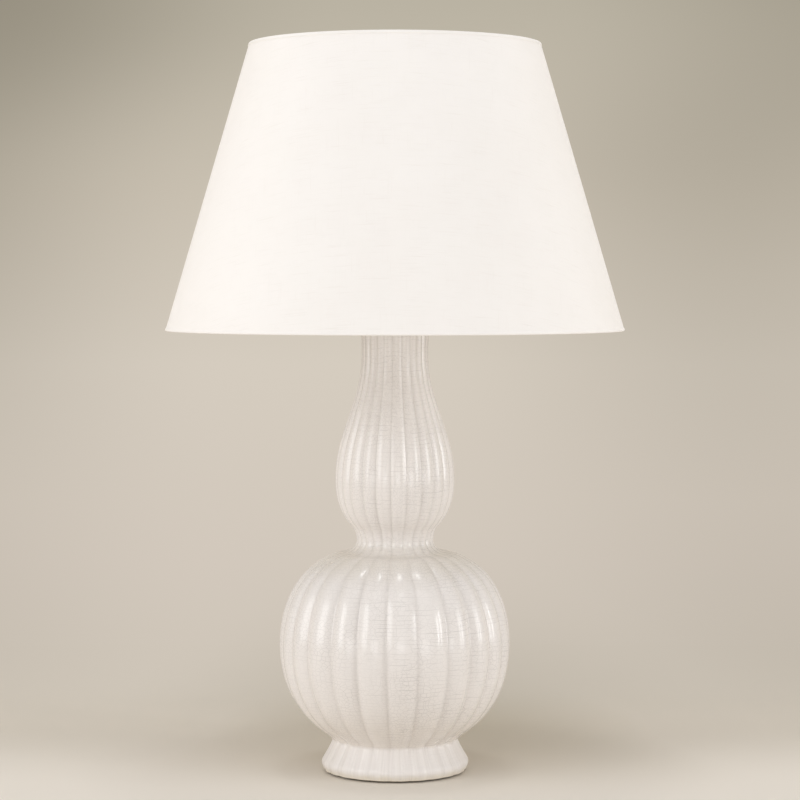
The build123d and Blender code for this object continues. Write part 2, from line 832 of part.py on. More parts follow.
def bulb_side(wall):
    """The bulb's outline moved in by wall: its round end, its taper and its neck."""
    radius = bulb_radius - wall
    neck = bulb_neck_radius - wall
    turn = radians(bulb_taper_turn)
    taper_x = radius * cos(turn)
    taper_z = bulb_centre - radius * sin(turn)
    ThreePointArc(
        (0, bulb_centre + radius),
        (radius * cos(turn), bulb_centre + radius * sin(turn)),
        (taper_x, taper_z),
    )
    neck_z = taper_z - (taper_x - neck) * cos(turn) / sin(turn)
    FilletPolyline((taper_x, taper_z), (neck, neck_z), (neck, bulb_glass_bottom), radius=bulb_neck_fillet)


with BuildPart() as bulb_glass:
    with BuildSketch(Plane.XZ):
        with BuildLine():
            bulb_side(0)
            Line((bulb_neck_radius, bulb_glass_bottom), (bulb_neck_radius - bulb_wall, bulb_glass_bottom))
            bulb_side(bulb_wall)
            Line((0, bulb_centre + bulb_radius - bulb_wall), (0, bulb_centre + bulb_radius))
        make_face()
    revolve(axis=Axis.Z)
bulb_glass.part.label = "bulb_glass"
export_step(bulb_glass.part, "parts/bulb_glass.step")

with BuildPart() as bulb_stem:
    stem_top = bulb_glass_bottom + stem_height
    with BuildSketch(Plane.XZ):
        with BuildLine():
            Polyline(
                (0, bulb_glass_bottom),
                (bulb_neck_radius - bulb_wall, bulb_glass_bottom),
                (bulb_neck_radius - bulb_wall, bulb_glass_bottom + stem_flare_height),
                (stem_radius, bulb_glass_bottom + stem_radius * 2),
                (stem_radius / 2, stem_top),
                (0, stem_top),
                close=True,
            )
        make_face()
    revolve(axis=Axis.Z)
bulb_stem.part.label = "bulb_stem"
export_step(bulb_stem.part, "parts/bulb_stem.step")

with BuildPart() as bulb_filament:
    rise = stem_top + filament_rise
    with BuildLine(Plane.XZ) as filament_line:
        FilletPolyline(
            (-filament_wire, stem_top),
            (-filament_spread, rise),
            (0, rise + filament_sag),
            (filament_spread, rise),
            (filament_wire, stem_top),
            radius=2 * filament_wire,
        )
    with BuildSketch(Plane(origin=filament_line.line @ 0, z_dir=filament_line.line % 0)):
        Circle(filament_wire)
    sweep(path=filament_line.line)
    with BuildSketch(Plane.XY.offset(stem_top)):
        Circle(stem_radius / 2)
    extrude(amount=-filament_wire, mode=Mode.SUBTRACT)
bulb_filament.part.label = "bulb_filament"
export_step(bulb_filament.part, "parts/bulb_filament.step")

# ---- harp ----
with BuildPart() as harp:
    with BuildLine(Plane.XZ) as harp_line:
        FilletPolyline(
            (harp_foot_x, harp_foot),
            (harp_foot_x, harp_foot + harp_leg_straight),
            (harp_half_width, harp_foot + harp_leg_straight + harp_bow_rise),
            (harp_half_width, wire_top),
            (harp_eye_radius - wire_radius, wire_top),
            radius=harp_bend_radii,
        )
    with BuildSketch(Plane.XY.offset(harp_foot)):
        with Locations((harp_foot_x, 0)):
            Circle(wire_radius)
    sweep(path=harp_line.line)
    mirror(about=Plane.YZ)
    with BuildSketch(Plane.XY.offset(eye_bottom)):
        Circle(harp_eye_radius)
    extrude(amount=harp_eye_height)
    with BuildSketch(Plane.XY.offset(eye_bottom)):
        Circle(rivet_radius + rivet_clearance)
    extrude(amount=harp_eye_height, mode=Mode.SUBTRACT)
harp.part.label = "harp"
export_step(harp.part, "parts/harp.step")

for side, name in ((-1, "left"), (1, "right")):
    with BuildPart() as harp_ferrule:
        with BuildSketch(Plane.XY.offset(ferrule_base)):
            with Locations((side * harp_foot_x, 0)):
                Circle(ferrule_radius)
        extrude(amount=ferrule_length)
        for k in range(ferrule_grooves):
            groove_z = ferrule_base + ferrule_length - (k + 1) * ferrule_groove_pitch
            with BuildSketch(Plane.XY.offset(groove_z)):
                with Locations((side * harp_foot_x, 0)):
                    Circle(ferrule_radius)
                    Circle(ferrule_radius - ferrule_groove, mode=Mode.SUBTRACT)
            extrude(amount=2 * ferrule_groove, mode=Mode.SUBTRACT)
        with BuildSketch(Plane.XY.offset(ferrule_base)):
            with Locations((side * harp_foot_x, 0)):
                Circle(wire_radius + ferrule_clearance)
        extrude(amount=ferrule_length, mode=Mode.SUBTRACT)
    harp_ferrule.part.label = f"harp_ferrule_{name}"
    export_step(harp_ferrule.part, f"parts/harp_ferrule_{name}.step")

with BuildPart() as harp_stud:
    rivet_bottom = eye_bottom - running_gap - rivet_head_height
    with BuildSketch(Plane.XZ):
        with BuildLine():
            Polyline(
                (0, rivet_bottom),
                (rivet_head_radius, rivet_bottom),
                (rivet_head_radius, rivet_bottom + rivet_head_height),
                (rivet_radius, rivet_bottom + rivet_head_height),
                (rivet_radius, seat_top - seat_thickness),
                (seat_radius, seat_top - seat_thickness),
                (seat_radius, seat_top),
                (stud_radius, seat_top),
                (stud_radius, seat_top + stud_length),
                (0, seat_top + stud_length),
                close=True,
            )
        make_face()
    revolve(axis=Axis.Z)
    chamfer(harp_stud.edges().group_by(Axis.Z)[-1], length=stud_radius / 6)
harp_stud.part.label = "harp_stud"
export_step(harp_stud.part, "parts/harp_stud.step")


# ---- shade ----
def shade_radius(height):
    """Outer radius of the shade's fabric at a height."""
    share = (shade_top_height - height) / (shade_top_height - shade_bottom_height)
    return shade_top_radius + (shade_bottom_radius - shade_top_radius) * share


fabric_top = shade_top_height - hem_sheet - glue_gap
fabric_bottom = shade_bottom_height + hem_sheet + glue_gap

with BuildPart() as shade_fabric:
    with BuildSketch(Plane.XZ):
        with BuildLine():
            Polyline(
                (shade_radius(fabric_top), fabric_top),
                (shade_radius(fabric_bottom), fabric_bottom),
                (shade_radius(fabric_bottom) - fabric_sheet, fabric_bottom),
                (shade_radius(fabric_top) - fabric_sheet, fabric_top),
                close=True,
            )
        make_face()
    revolve(axis=Axis.Z)
shade_fabric.part.label = "shade_fabric"
export_step(shade_fabric.part, "parts/shade_fabric.step")

with BuildPart() as shade_backing:
    inset = fabric_sheet + glue_gap
    with BuildSketch(Plane.XZ):
        with BuildLine():
            Polyline(
                (shade_radius(fabric_top) - inset, fabric_top),
                (shade_radius(fabric_bottom) - inset, fabric_bottom),
                (shade_radius(fabric_bottom) - inset - backing_sheet, fabric_bottom),
                (shade_radius(fabric_top) - inset - backing_sheet, fabric_top),
                close=True,
            )
        make_face()
    revolve(axis=Axis.Z)
shade_backing.part.label = "shade_backing"
export_step(shade_backing.part, "parts/shade_backing.step")


def ring_radius(height):
    """Radius of a rim wire's centre line, where the wire just clears the sloping backing."""
    lean = (shade_bottom_radius - shade_top_radius) / (shade_top_height - shade_bottom_height)
    inside = shade_radius(height) - fabric_sheet - backing_sheet - 2 * glue_gap
    return inside - ring_wire_radius * hypot(1, lean)


with BuildPart() as bottom_ring:
    with BuildSketch(Plane.XZ):
        with Locations((ring_radius(bottom_ring_z), bottom_ring_z)):
            Circle(ring_wire_radius)
    revolve(axis=Axis.Z)
bottom_ring.part.label = "bottom_ring"
export_step(bottom_ring.part, "parts/bottom_ring.step")

# the fitter: rim wire, arms that drop to the washer, and the washer, welded together
with BuildPart() as shade_fitter:
    fitter_radius = ring_radius(top_ring_z)
    washer_middle = (washer_bottom + washer_top) / 2
    with BuildSketch(Plane.XZ):
        with Locations((fitter_radius, top_ring_z)):
            Circle(ring_wire_radius)
    revolve(axis=Axis.Z)
    arm_root = fitter_washer_radius - arm_root_inset
    for k in range(fitter_arms):
        turn = radians(90 + k * 360 / fitter_arms)
        along = (cos(turn), sin(turn), 0)
        side_plane = Plane(origin=(0, 0, 0), x_dir=along, z_dir=(sin(turn), -cos(turn), 0))
        with BuildLine(side_plane) as arm_line:
            FilletPolyline(
                (arm_root, washer_middle), (fitter_radius, washer_middle), (fitter_radius, top_ring_z),
                radius=fitter_bend_radius,
            )
        with BuildSketch(Plane(origin=arm_line.line @ 0, z_dir=along)):
            Circle(arm_wire_radius)
        sweep(path=arm_line.line)
    with BuildSketch(Plane.XY.offset(washer_bottom)):
        Circle(fitter_washer_radius)
        Circle(stud_radius + running_gap, mode=Mode.SUBTRACT)
    extrude(amount=fitter_washer_thickness)
shade_fitter.part.label = "shade_fitter"
export_step(shade_fitter.part, "parts/shade_fitter.step")


def hem_section(rim, way):
    """A hem folded over a rim and its wire: way is 1 for the top rim and -1 for the bottom rim."""
    fold = rim - way * hem_sheet
    tuck = rim - way * hem_tuck
    leg = rim - way * hem_leg
    inner = ring_radius(fold - way * (glue_gap + ring_wire_radius)) - ring_wire_radius - glue_gap
    Polyline(
        (shade_radius(leg) + glue_gap + hem_sheet, leg),
        (shade_radius(rim) + glue_gap + hem_sheet, rim),
        (inner - hem_sheet, rim),
        (inner - hem_sheet, tuck),
        (inner, tuck),
        (inner, fold),
        (shade_radius(fold) + glue_gap, fold),
        (shade_radius(leg) + glue_gap, leg),
        close=True,
    )


with BuildPart() as top_hem:
    with BuildSketch(Plane.XZ):
        with BuildLine():
            hem_section(shade_top_height, 1)
        make_face()
    revolve(axis=Axis.Z)
top_hem.part.label = "top_hem"
export_step(top_hem.part, "parts/top_hem.step")

with BuildPart() as bottom_hem:
    with BuildSketch(Plane.XZ):
        with BuildLine():
            hem_section(shade_bottom_height, -1)
        make_face()
    revolve(axis=Axis.Z)
bottom_hem.part.label = "bottom_hem"
export_step(bottom_hem.part, "parts/bottom_hem.step")

# ---- finial ----
with BuildPart() as finial:
    neck_bottom = finial_base + finial_foot_height
    ball_bottom = neck_bottom + finial_neck_height
    ball_centre = ball_bottom + sqrt(finial_ball_radius**2 - finial_neck_radius**2)
    button_bottom = ball_centre + sqrt(finial_ball_radius**2 - finial_button_radius**2)
    finial_top = button_bottom + finial_button_height
    with BuildSketch(Plane.XZ):
        with BuildLine():
            Polyline(
                (0, finial_top),
                (0, finial_base),
                (finial_foot_radius, finial_base),
                (finial_foot_radius, neck_bottom),
                (finial_neck_radius, neck_bottom),
                (finial_neck_radius, ball_bottom),
            )
            ThreePointArc(
                (finial_neck_radius, ball_bottom),
                (finial_ball_radius, ball_centre),
                (finial_button_radius, button_bottom),
            )
            Polyline(
                (finial_button_radius, button_bottom),
                (finial_button_radius, finial_top),
                (0, finial_top),
            )
        make_face()
    revolve(axis=Axis.Z)
    with BuildSketch(Plane.XY.offset(finial_base)):
        Circle(stud_radius + running_gap)
    extrude(amount=finial_hole_depth, mode=Mode.SUBTRACT)
finial.part.label = "finial"
export_step(finial.part, "parts/finial.step")
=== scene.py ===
import math

import bmesh
import bpy
import numpy as np
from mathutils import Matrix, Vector


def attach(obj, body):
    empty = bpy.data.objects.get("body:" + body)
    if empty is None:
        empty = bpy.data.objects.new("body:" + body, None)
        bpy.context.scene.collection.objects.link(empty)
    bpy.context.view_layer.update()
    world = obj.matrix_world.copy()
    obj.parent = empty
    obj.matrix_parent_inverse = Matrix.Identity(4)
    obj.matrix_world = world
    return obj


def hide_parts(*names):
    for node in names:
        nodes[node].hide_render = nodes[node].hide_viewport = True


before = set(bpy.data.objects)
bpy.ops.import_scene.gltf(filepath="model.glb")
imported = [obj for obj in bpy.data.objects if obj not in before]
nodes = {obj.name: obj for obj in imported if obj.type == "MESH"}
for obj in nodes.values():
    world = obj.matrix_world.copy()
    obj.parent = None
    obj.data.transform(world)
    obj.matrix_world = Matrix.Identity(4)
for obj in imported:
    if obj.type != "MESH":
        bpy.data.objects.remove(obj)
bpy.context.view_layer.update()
mm = 0.001
print("frame in place:", len(nodes), "nodes")


# small makers

def tone(red, green, blue):
    # a screen colour, 0 to 255, as the shader's linear one
    screen = np.array([red, green, blue]) / 255
    linear = np.where(screen <= 0.04045, screen / 12.92, ((screen + 0.055) / 1.055) ** 2.4)
    return (*[float(c) for c in linear], 1.0)


def lineThrough(points, count):
    # natural cubic through the points: the bends at the points solve a three-band matrix,
    # and between two points the line is the cubic of the chord length with those bends
    points = np.array(points, float)
    chord = np.hypot(*np.diff(points, axis=0).T)
    along = np.concatenate([[0], np.cumsum(chord)])
    last = len(points) - 1
    band = np.eye(last + 1)
    right = np.zeros((last + 1, 2))
    slope = np.diff(points, axis=0) / chord[:, None]
    k = np.arange(1, last)
    band[k, k - 1], band[k, k], band[k, k + 1] = chord[:-1], 2 * (chord[:-1] + chord[1:]), chord[1:]
    right[1:-1] = 6 * (slope[1:] - slope[:-1])
    bend = np.linalg.solve(band, right)
    t = np.linspace(0, along[-1], count)
    k = np.clip(np.searchsorted(along, t, side="right") - 1, 0, last - 1)
    h, a, b = (x[:, None] for x in (chord[k], along[k + 1] - t, t - along[k]))
    cubic = (bend[k] * a**3 + bend[k + 1] * b**3) / (6 * h)
    return cubic + (points[k] / h - bend[k] * h / 6) * a + (points[k + 1] / h - bend[k + 1] * h / 6) * b


def straight(start, end, count):
    # points at equal steps from start to end, both with
    return np.linspace(np.array(start, float), np.array(end, float), count)


def quarter(centre, reach, fromTurn, toTurn, count):
    # an arc of an ellipse round the centre, turns in degrees from the outward direction
    turn = np.radians(np.linspace(fromTurn, toTurn, count))
    return np.stack([centre[0] + reach[0] * np.cos(turn), centre[1] + reach[1] * np.sin(turn)], 1)


def meshFromGrid(name, grid, closeRows=False, closeColumns=True, chart=None, marks=None, sharp=40):
    # grid is rows x columns x 3, in metres; each face joins a row to the next, and a profile that runs up the
    # outside gives faces that look outward
    rows, columns = grid.shape[:2]
    i = np.arange(rows if closeRows else rows - 1)[:, None]
    j = np.arange(columns if closeColumns else columns - 1)[None, :]
    nextRow, nextColumn = (i + 1) % rows, (j + 1) % columns
    corners = [i * columns + j, i * columns + nextColumn, nextRow * columns + nextColumn, nextRow * columns + j]
    faces = np.stack([np.broadcast_to(c, (i.shape[0], j.shape[1])) for c in corners], -1).reshape(-1, 4)
    mesh = bpy.data.meshes.new(name)
    mesh.from_pydata(grid.reshape(-1, 3).tolist(), [], faces.tolist())
    if chart is not None:  # chart has one more row or column where the grid closes
        steps = [(0, 0), (0, 1), (1, 1), (1, 0)]
        spread = [chart[(i + a), (j + b)] for a, b in steps]
        layer = mesh.uv_layers.new(name="chart")
        layer.data.foreach_set("uv", np.stack(spread, 2).reshape(-1).astype(np.float32))
    for mark, values in (marks or {}).items():
        layer = mesh.attributes.new(mark, "FLOAT", "POINT")
        layer.data.foreach_set("value", np.broadcast_to(values, (rows, columns)).reshape(-1).astype(np.float32))
    mesh.polygons.foreach_set("use_smooth", np.ones(len(mesh.polygons), bool))
    mesh.set_sharp_from_angle(angle=math.radians(sharp))
    mesh.update()
    piece = bpy.data.objects.new(name, mesh)
    bpy.context.scene.collection.objects.link(piece)
    return piece


def closePoles(piece):
    # the rows that shrink to a point on the axis become one point each
    work = bmesh.new()
    work.from_mesh(piece.data)
    bmesh.ops.remove_doubles(work, verts=work.verts, dist=1e-7)
    work.to_mesh(piece.data)
    work.free()


def turned(name, profile, segments=96, closed=True, sharp=40):
    # the profile, (radius, height) pairs in millimetres, is carried round a vertical axis:
    # x = radius * sin(turn), y = -radius * cos(turn), z = height
    profile = np.array(profile, float)
    turn = np.linspace(0, 2 * np.pi, segments, endpoint=False)
    radius, height = profile[:, :1], profile[:, 1:]
    grid = np.stack([radius * np.sin(turn), -radius * np.cos(turn), height + 0 * turn], -1) * mm
    run = np.concatenate([[0], np.cumsum(np.hypot(*np.diff(profile, axis=0).T))])
    if closed:
        run = np.append(run, run[-1] + np.hypot(*(profile[0] - profile[-1])))
    around = np.linspace(0, 2 * np.pi, segments + 1) * profile[:, 0].max()
    chart = np.stack(np.broadcast_arrays(around[None, :], run[:, None]), -1) * mm
    piece = meshFromGrid(name, grid, closeRows=closed, chart=chart, sharp=sharp)
    closePoles(piece)
    return piece


# shader makers

def place(tree, kind, inputs=None, **settings):
    # one node with its settings; an input is a plain value or another node's output
    node = tree.nodes.new(kind)
    for name, value in settings.items():
        setattr(node, name, value)
    for name, value in (inputs or {}).items():
        if isinstance(value, bpy.types.NodeSocket):
            tree.links.new(value, node.inputs[name])
        else:
            node.inputs[name].default_value = value
    return node


def maths(tree, operation, first, second=0.0, third=None):
    inputs = {0: first, 1: second} if third is None else {0: first, 1: second, 2: third}
    return place(tree, "ShaderNodeMath", inputs, operation=operation).outputs[0]


def blendTone(tree, share, low, high):
    return place(tree, "ShaderNodeMix", {0: share, 6: low, 7: high}, data_type="RGBA").outputs[2]


def spread(tree, value, fromLow, fromHigh, toLow, toHigh, smooth=False):
    # carries a value from one span to another, held at the ends
    inputs = {0: value, 1: fromLow, 2: fromHigh, 3: toLow, 4: toHigh}
    kind = "SMOOTHSTEP" if smooth else "LINEAR"
    return place(tree, "ShaderNodeMapRange", inputs, interpolation_type=kind).outputs[0]


def times(tree, first, second):
    return maths(tree, "MULTIPLY", first, second)


def vectorMaths(tree, operation, first, second):
    return place(tree, "ShaderNodeVectorMath", {0: first, 1: second}, operation=operation).outputs[0]


def stretched(tree, vector, scale):
    return vectorMaths(tree, "MULTIPLY", vector, scale)


def noise(tree, vector, scale, detail=2.0, roughness=0.5):
    inputs = {"Vector": vector, "Scale": scale, "Detail": detail, "Roughness": roughness}
    return place(tree, "ShaderNodeTexNoise", inputs).outputs[0]


def newGroup(name, inputs, outputs):
    group = bpy.data.node_groups.new(name, "ShaderNodeTree")
    for socket, value in inputs.items():
        kind = "NodeSocketVector" if value is None else "NodeSocketFloat"
        made = group.interface.new_socket(socket, in_out="INPUT", socket_type=kind)
        if value is not None:
            made.default_value = value
    for socket in outputs:
        group.interface.new_socket(socket, in_out="OUTPUT", socket_type="NodeSocketFloat")
    return group, group.nodes.new("NodeGroupInput").outputs, group.nodes.new("NodeGroupOutput").inputs


def useGroup(tree, group, inputs):
    return place(tree, "ShaderNodeGroup", inputs, node_tree=group).outputs


def newMaterial(name, plain):
    material = bpy.data.materials.new(name)
    material.use_nodes = True
    tree = material.node_tree
    tree.nodes.clear()
    skin = place(tree, "ShaderNodeBsdfPrincipled", plain)
    out = tree.nodes.new("ShaderNodeOutputMaterial")
    tree.links.new(skin.outputs[0], out.inputs["Surface"])
    coordinates = tree.nodes.new("ShaderNodeTexCoord")
    return material, tree, skin, coordinates.outputs["Object"]


def addBump(tree, skin, height, strength, distance):
    bump = place(tree, "ShaderNodeBump", {"Strength": strength, "Distance": distance, "Height": height})
    tree.links.new(bump.outputs[0], skin.inputs["Normal"])


# shared effects

# crazed net: the line lies where two cells of a flat pattern meet, pushed about by a soft noise
settings = {"Vector": None, "Cells": 100.0, "Width": 0.03, "Wander": 0.01}
tree, into, out = newGroup("crackleNet", settings, ["Line"])
crackleNet = tree
soft = {"Vector": into["Vector"], "Scale": 60.0, "Detail": 2.0}
push = place(tree, "ShaderNodeTexNoise", soft, noise_dimensions="2D").outputs[1]
push = vectorMaths(tree, "SUBTRACT", push, (0.5, 0.5, 0.5))
push = place(tree, "ShaderNodeVectorMath", {0: push, "Scale": into["Wander"]}, operation="SCALE").outputs[0]
pattern = {"Vector": vectorMaths(tree, "ADD", into["Vector"], push), "Scale": into["Cells"]}
cells = place(tree, "ShaderNodeTexVoronoi", pattern, feature="DISTANCE_TO_EDGE", voronoi_dimensions="2D")
tree.links.new(spread(tree, cells.outputs[0], 0.0, into["Width"], 1.0, 0.0, smooth=True), out["Line"])

# hair lines: level lines of the height, bent by a broad noise so that they draw together and apart,
# and broken by a second noise
settings = {"Vector": None, "Lines": 160.0, "Width": 0.05, "Bend": 3.0}
tree, into, out = newGroup("hairLines", settings, ["Line"])
hairLines = tree
rise = place(tree, "ShaderNodeSeparateXYZ", {0: into["Vector"]}).outputs[1]
bend = noise(tree, stretched(tree, into["Vector"], (17.0, 34.0, 1.0)), 1.0, 1.0, 0.4)
level = maths(tree, "MULTIPLY_ADD", rise, into["Lines"], times(tree, bend, into["Bend"]))
off = maths(tree, "ABSOLUTE", maths(tree, "SUBTRACT", maths(tree, "FRACT", level), 0.5))
gaps = noise(tree, stretched(tree, into["Vector"], (70.0, 120.0, 1.0)), 1.0, 2.0)
gaps = spread(tree, gaps, 0.42, 0.57, 0.0, 1.0, smooth=True)
hair = times(tree, spread(tree, off, 0.0, into["Width"], 1.0, 0.0, smooth=True), gaps)
tree.links.new(hair, out["Line"])

# hand and shelf wear: a broad cloudiness and a fine grain, each from 0 to 1
settings = {"Vector": None, "Clouds": 60.0, "Grain": 1500.0}
tree, into, out = newGroup("surfaceWear", settings, ["Cloud", "Fine"])
surfaceWear = tree
broad = noise(tree, into["Vector"], into["Clouds"], 4.0, 0.6)
tree.links.new(spread(tree, broad, 0.35, 0.68, 0.0, 1.0, smooth=True), out["Cloud"])
tree.links.new(noise(tree, into["Vector"], into["Grain"], 2.0, 0.6), out["Fine"])

# cloth: threads both ways at their real pitch, and thicker slubs that run a few centimetres along a thread
settings = {"Vector": None, "Pitch": 2000.0, "Slubs": 1.0}
tree, into, out = newGroup("clothThreads", settings, ["Height", "Slub"])
clothThreads = tree
sides = place(tree, "ShaderNodeSeparateXYZ", {0: into["Vector"]}).outputs
wave = times(tree, into["Pitch"], math.pi)
warp, weft = (maths(tree, "SINE", times(tree, side, wave)) for side in sides[:2])
weave = times(tree, warp, weft)
across = noise(tree, stretched(tree, into["Vector"], (28.0, 900.0, 1.0)), 1.0, 3.0, 0.6)
down = noise(tree, stretched(tree, into["Vector"], (900.0, 22.0, 1.0)), 1.0, 3.0, 0.6)
across, down = spread(tree, across, 0.56, 0.8, 0.0, 1.0), spread(tree, down, 0.6, 0.84, 0.0, 1.0)
slub = times(tree, maths(tree, "MAXIMUM", across, down), into["Slubs"])
tree.links.new(slub, out["Slub"])
tree.links.new(maths(tree, "MULTIPLY_ADD", slub, 1.5, times(tree, weave, 0.25)), out["Height"])

# drawn or turned metal: fine rings round the lamp's axis, from a noise squeezed along the height
tree, into, out = newGroup("turnedMarks", {"Vector": None, "Rings": 2500.0}, ["Ring"])
turnedMarks = tree
squeezed = stretched(tree, into["Vector"], (0.02, 0.02, 1.0))
tree.links.new(noise(tree, squeezed, into["Rings"], 3.0, 0.7), out["Ring"])
print("shared effects ready:", len(bpy.data.node_groups))


# finishes

glazeLook = {
    "crest": tone(240, 234, 229),
    # the groove tone: pooled glaze and painted shade in the grooves
    "poolAndShade": tone(214, 206, 200),
    "warm": tone(231, 222, 206),
    "line": tone(158, 151, 145),
    "biscuit": tone(226, 214, 198),
    "foot": tone(244, 238, 233),
    "edge": tone(236, 226, 205),
    # how far each of these is laid over the colour under it
    "lineShare": 0.62, "grooveShare": 0.34, "cloudShare": 0.1, "hollowShadeShare": 0.3,
    "footShare": 0.85, "edgeShare": 0.75, "combShare": 0.3, "footLines": 0.2,
    # three layers of crazing: hair lines, a fine net, and wider cells
    "hair": {"Lines": 230.0, "Width": 0.07, "Bend": 2.6},
    "fineNet": {"Cells": 270.0, "Width": 0.07, "Wander": 0.004},
    "wideNet": {"Cells": 115.0, "Width": 0.036, "Wander": 0.008},
    "roughness": (0.18, 0.28), "coat": 0.12, "coatRoughness": 0.1,
    "footRoughness": 0.2, "bareRoughness": 0.8,
    # heights in metres between which painted shade, warmer and darker, lies under the waist, and above the foot
    "shoulderRise": (0.196, 0.216), "shoulderFall": (0.224, 0.238), "hollowFall": (0.036, 0.085),
}


def makeGlaze():
    look = glazeLook
    plain = {"IOR": 1.5, "Coat Weight": look["coat"], "Coat Roughness": look["coatRoughness"]}
    material, tree, skin, at = newMaterial("crackleGlaze", plain)
    flat = place(tree, "ShaderNodeUVMap", uv_map="chart").outputs[0]
    groove, foot, bare = (
        place(tree, "ShaderNodeAttribute", attribute_name=mark).outputs["Fac"]
        for mark in ("groove", "foot", "bare")
    )
    glazed = maths(tree, "SUBTRACT", 1.0, bare)
    sides = place(tree, "ShaderNodeSeparateXYZ", {0: at}).outputs
    # the hair lines are stronger and the cells wider towards the right; the fine net comes in patches
    hair = useGroup(tree, hairLines, {"Vector": flat, **look["hair"]})["Line"]
    fine = useGroup(tree, crackleNet, {"Vector": flat, **look["fineNet"]})["Line"]
    wide = useGroup(tree, crackleNet, {"Vector": flat, **look["wideNet"]})["Line"]
    patch = spread(tree, noise(tree, at, 17.0, 2.0), 0.4, 0.62, 0.3, 0.7, smooth=True)
    rightSide = spread(tree, sides[0], -0.07, 0.02, 0.0, 1.0, smooth=True)
    wide = times(tree, wide, maths(tree, "MULTIPLY_ADD", rightSide, 0.35, 0.1))
    hair = times(tree, hair, maths(tree, "MULTIPLY_ADD", rightSide, 0.5, 0.5))
    line = maths(tree, "MAXIMUM", hair, maths(tree, "MAXIMUM", times(tree, fine, patch), wide))
    strength = spread(tree, noise(tree, at, 26.0, 2.0), 0.32, 0.68, 0.4, 1.0)
    sparse = maths(tree, "MULTIPLY_ADD", foot, look["footLines"] - 1.0, 1.0)
    line = times(tree, times(tree, line, strength), times(tree, glazed, sparse))
    # the glaze is greyer in the grooves: partly where it pools there, partly painted shade in the grooves
    cloud = useGroup(tree, surfaceWear, {"Vector": at, "Clouds": 14.0, "Grain": 900.0})
    pooledAndShaded = times(tree, maths(tree, "POWER", groove, 6.0), look["grooveShare"])
    pooledAndShaded = maths(tree, "MULTIPLY_ADD", cloud["Cloud"], look["cloudShare"], pooledAndShaded)
    colour = blendTone(tree, pooledAndShaded, look["crest"], look["poolAndShade"])
    # painted shade: a warmer, darker tone in the crease under the waist and where the belly draws in above the
    # foot
    low = spread(tree, sides[2], *look["shoulderRise"], 0.0, 1.0, smooth=True)
    high = spread(tree, sides[2], *look["shoulderFall"], 1.0, 0.0, smooth=True)
    hollow = spread(tree, sides[2], *look["hollowFall"], 1.0, 0.0, smooth=True)
    hollow = times(tree, hollow, maths(tree, "SUBTRACT", 1.0, foot))
    hollowShade = maths(tree, "MAXIMUM", times(tree, low, high), times(tree, hollow, 0.6))
    colour = blendTone(tree, times(tree, hollowShade, look["hollowShadeShare"]), colour, look["warm"])
    colour = blendTone(tree, times(tree, foot, look["footShare"]), colour, look["foot"])
    # a ragged, warm lower edge
    ragged = maths(tree, "MULTIPLY_ADD", noise(tree, flat, 70.0, 2.0), -0.006, sides[2])
    edge = times(tree, spread(tree, ragged, -0.001, 0.006, 1.0, 0.0, smooth=True), foot)
    colour = blendTone(tree, times(tree, edge, look["edgeShare"]), colour, look["edge"])
    colour = blendTone(tree, times(tree, line, look["lineShare"]), colour, look["line"])
    # the foot's combed streaks: a noise drawn out along the run of the profile
    streak = noise(tree, stretched(tree, flat, (300.0, 9.0, 1.0)), 1.0, 3.0, 0.6)
    combed = times(tree, spread(tree, streak, 0.34, 0.66, 0.0, 1.0, smooth=True), foot)
    colour = blendTone(tree, times(tree, combed, look["combShare"]), colour, look["poolAndShade"])
    colour = blendTone(tree, bare, colour, look["biscuit"])
    tree.links.new(colour, skin.inputs["Base Color"])
    gloss = spread(tree, cloud["Cloud"], 0.0, 1.0, *look["roughness"])
    gloss = maths(tree, "MAXIMUM", gloss, times(tree, bare, look["bareRoughness"]))
    gloss = maths(tree, "MULTIPLY_ADD", foot, look["footRoughness"], gloss)
    tree.links.new(gloss, skin.inputs["Roughness"])
    tree.links.new(times(tree, glazed, look["coat"]), skin.inputs["Coat Weight"])
    # the skin swells broadly; the combed streaks and the crazing are cut into it
    height = maths(tree, "MULTIPLY_ADD", noise(tree, at, 30.0, 2.0), 1.8, times(tree, cloud["Fine"], 0.03))
    height = maths(tree, "MULTIPLY_ADD", combed, -0.5, height)
    height = maths(tree, "MULTIPLY_ADD", line, -0.06, height)
    addBump(tree, skin, height, 0.6, 0.0006)
    return material


clothLook = {
    "cloth": tone(251, 246, 241),
    "slub": tone(238, 231, 223),
    "pitch": 1900.0,  # half turns of the thread wave in a metre
    "plain": {"Roughness": 0.82, "Sheen Weight": 0.12, "Sheen Roughness": 0.5, "Specular IOR Level": 0.25},
}


def makeCloth(name, slubs=1.0):
    material, tree, skin, at = newMaterial(name, clothLook["plain"])
    flat = place(tree, "ShaderNodeUVMap", uv_map="chart").outputs[0]
    threads = useGroup(tree, clothThreads, {"Vector": flat, "Pitch": clothLook["pitch"], "Slubs": slubs})
    cloud = useGroup(tree, surfaceWear, {"Vector": at, "Clouds": 9.0, "Grain": 700.0})
    share = maths(tree, "MULTIPLY_ADD", threads["Slub"], 0.5, times(tree, cloud["Cloud"], 0.12))
    tree.links.new(blendTone(tree, share, clothLook["cloth"], clothLook["slub"]), skin.inputs["Base Color"])
    addBump(tree, skin, threads["Height"], 0.35, 0.00025)
    return material


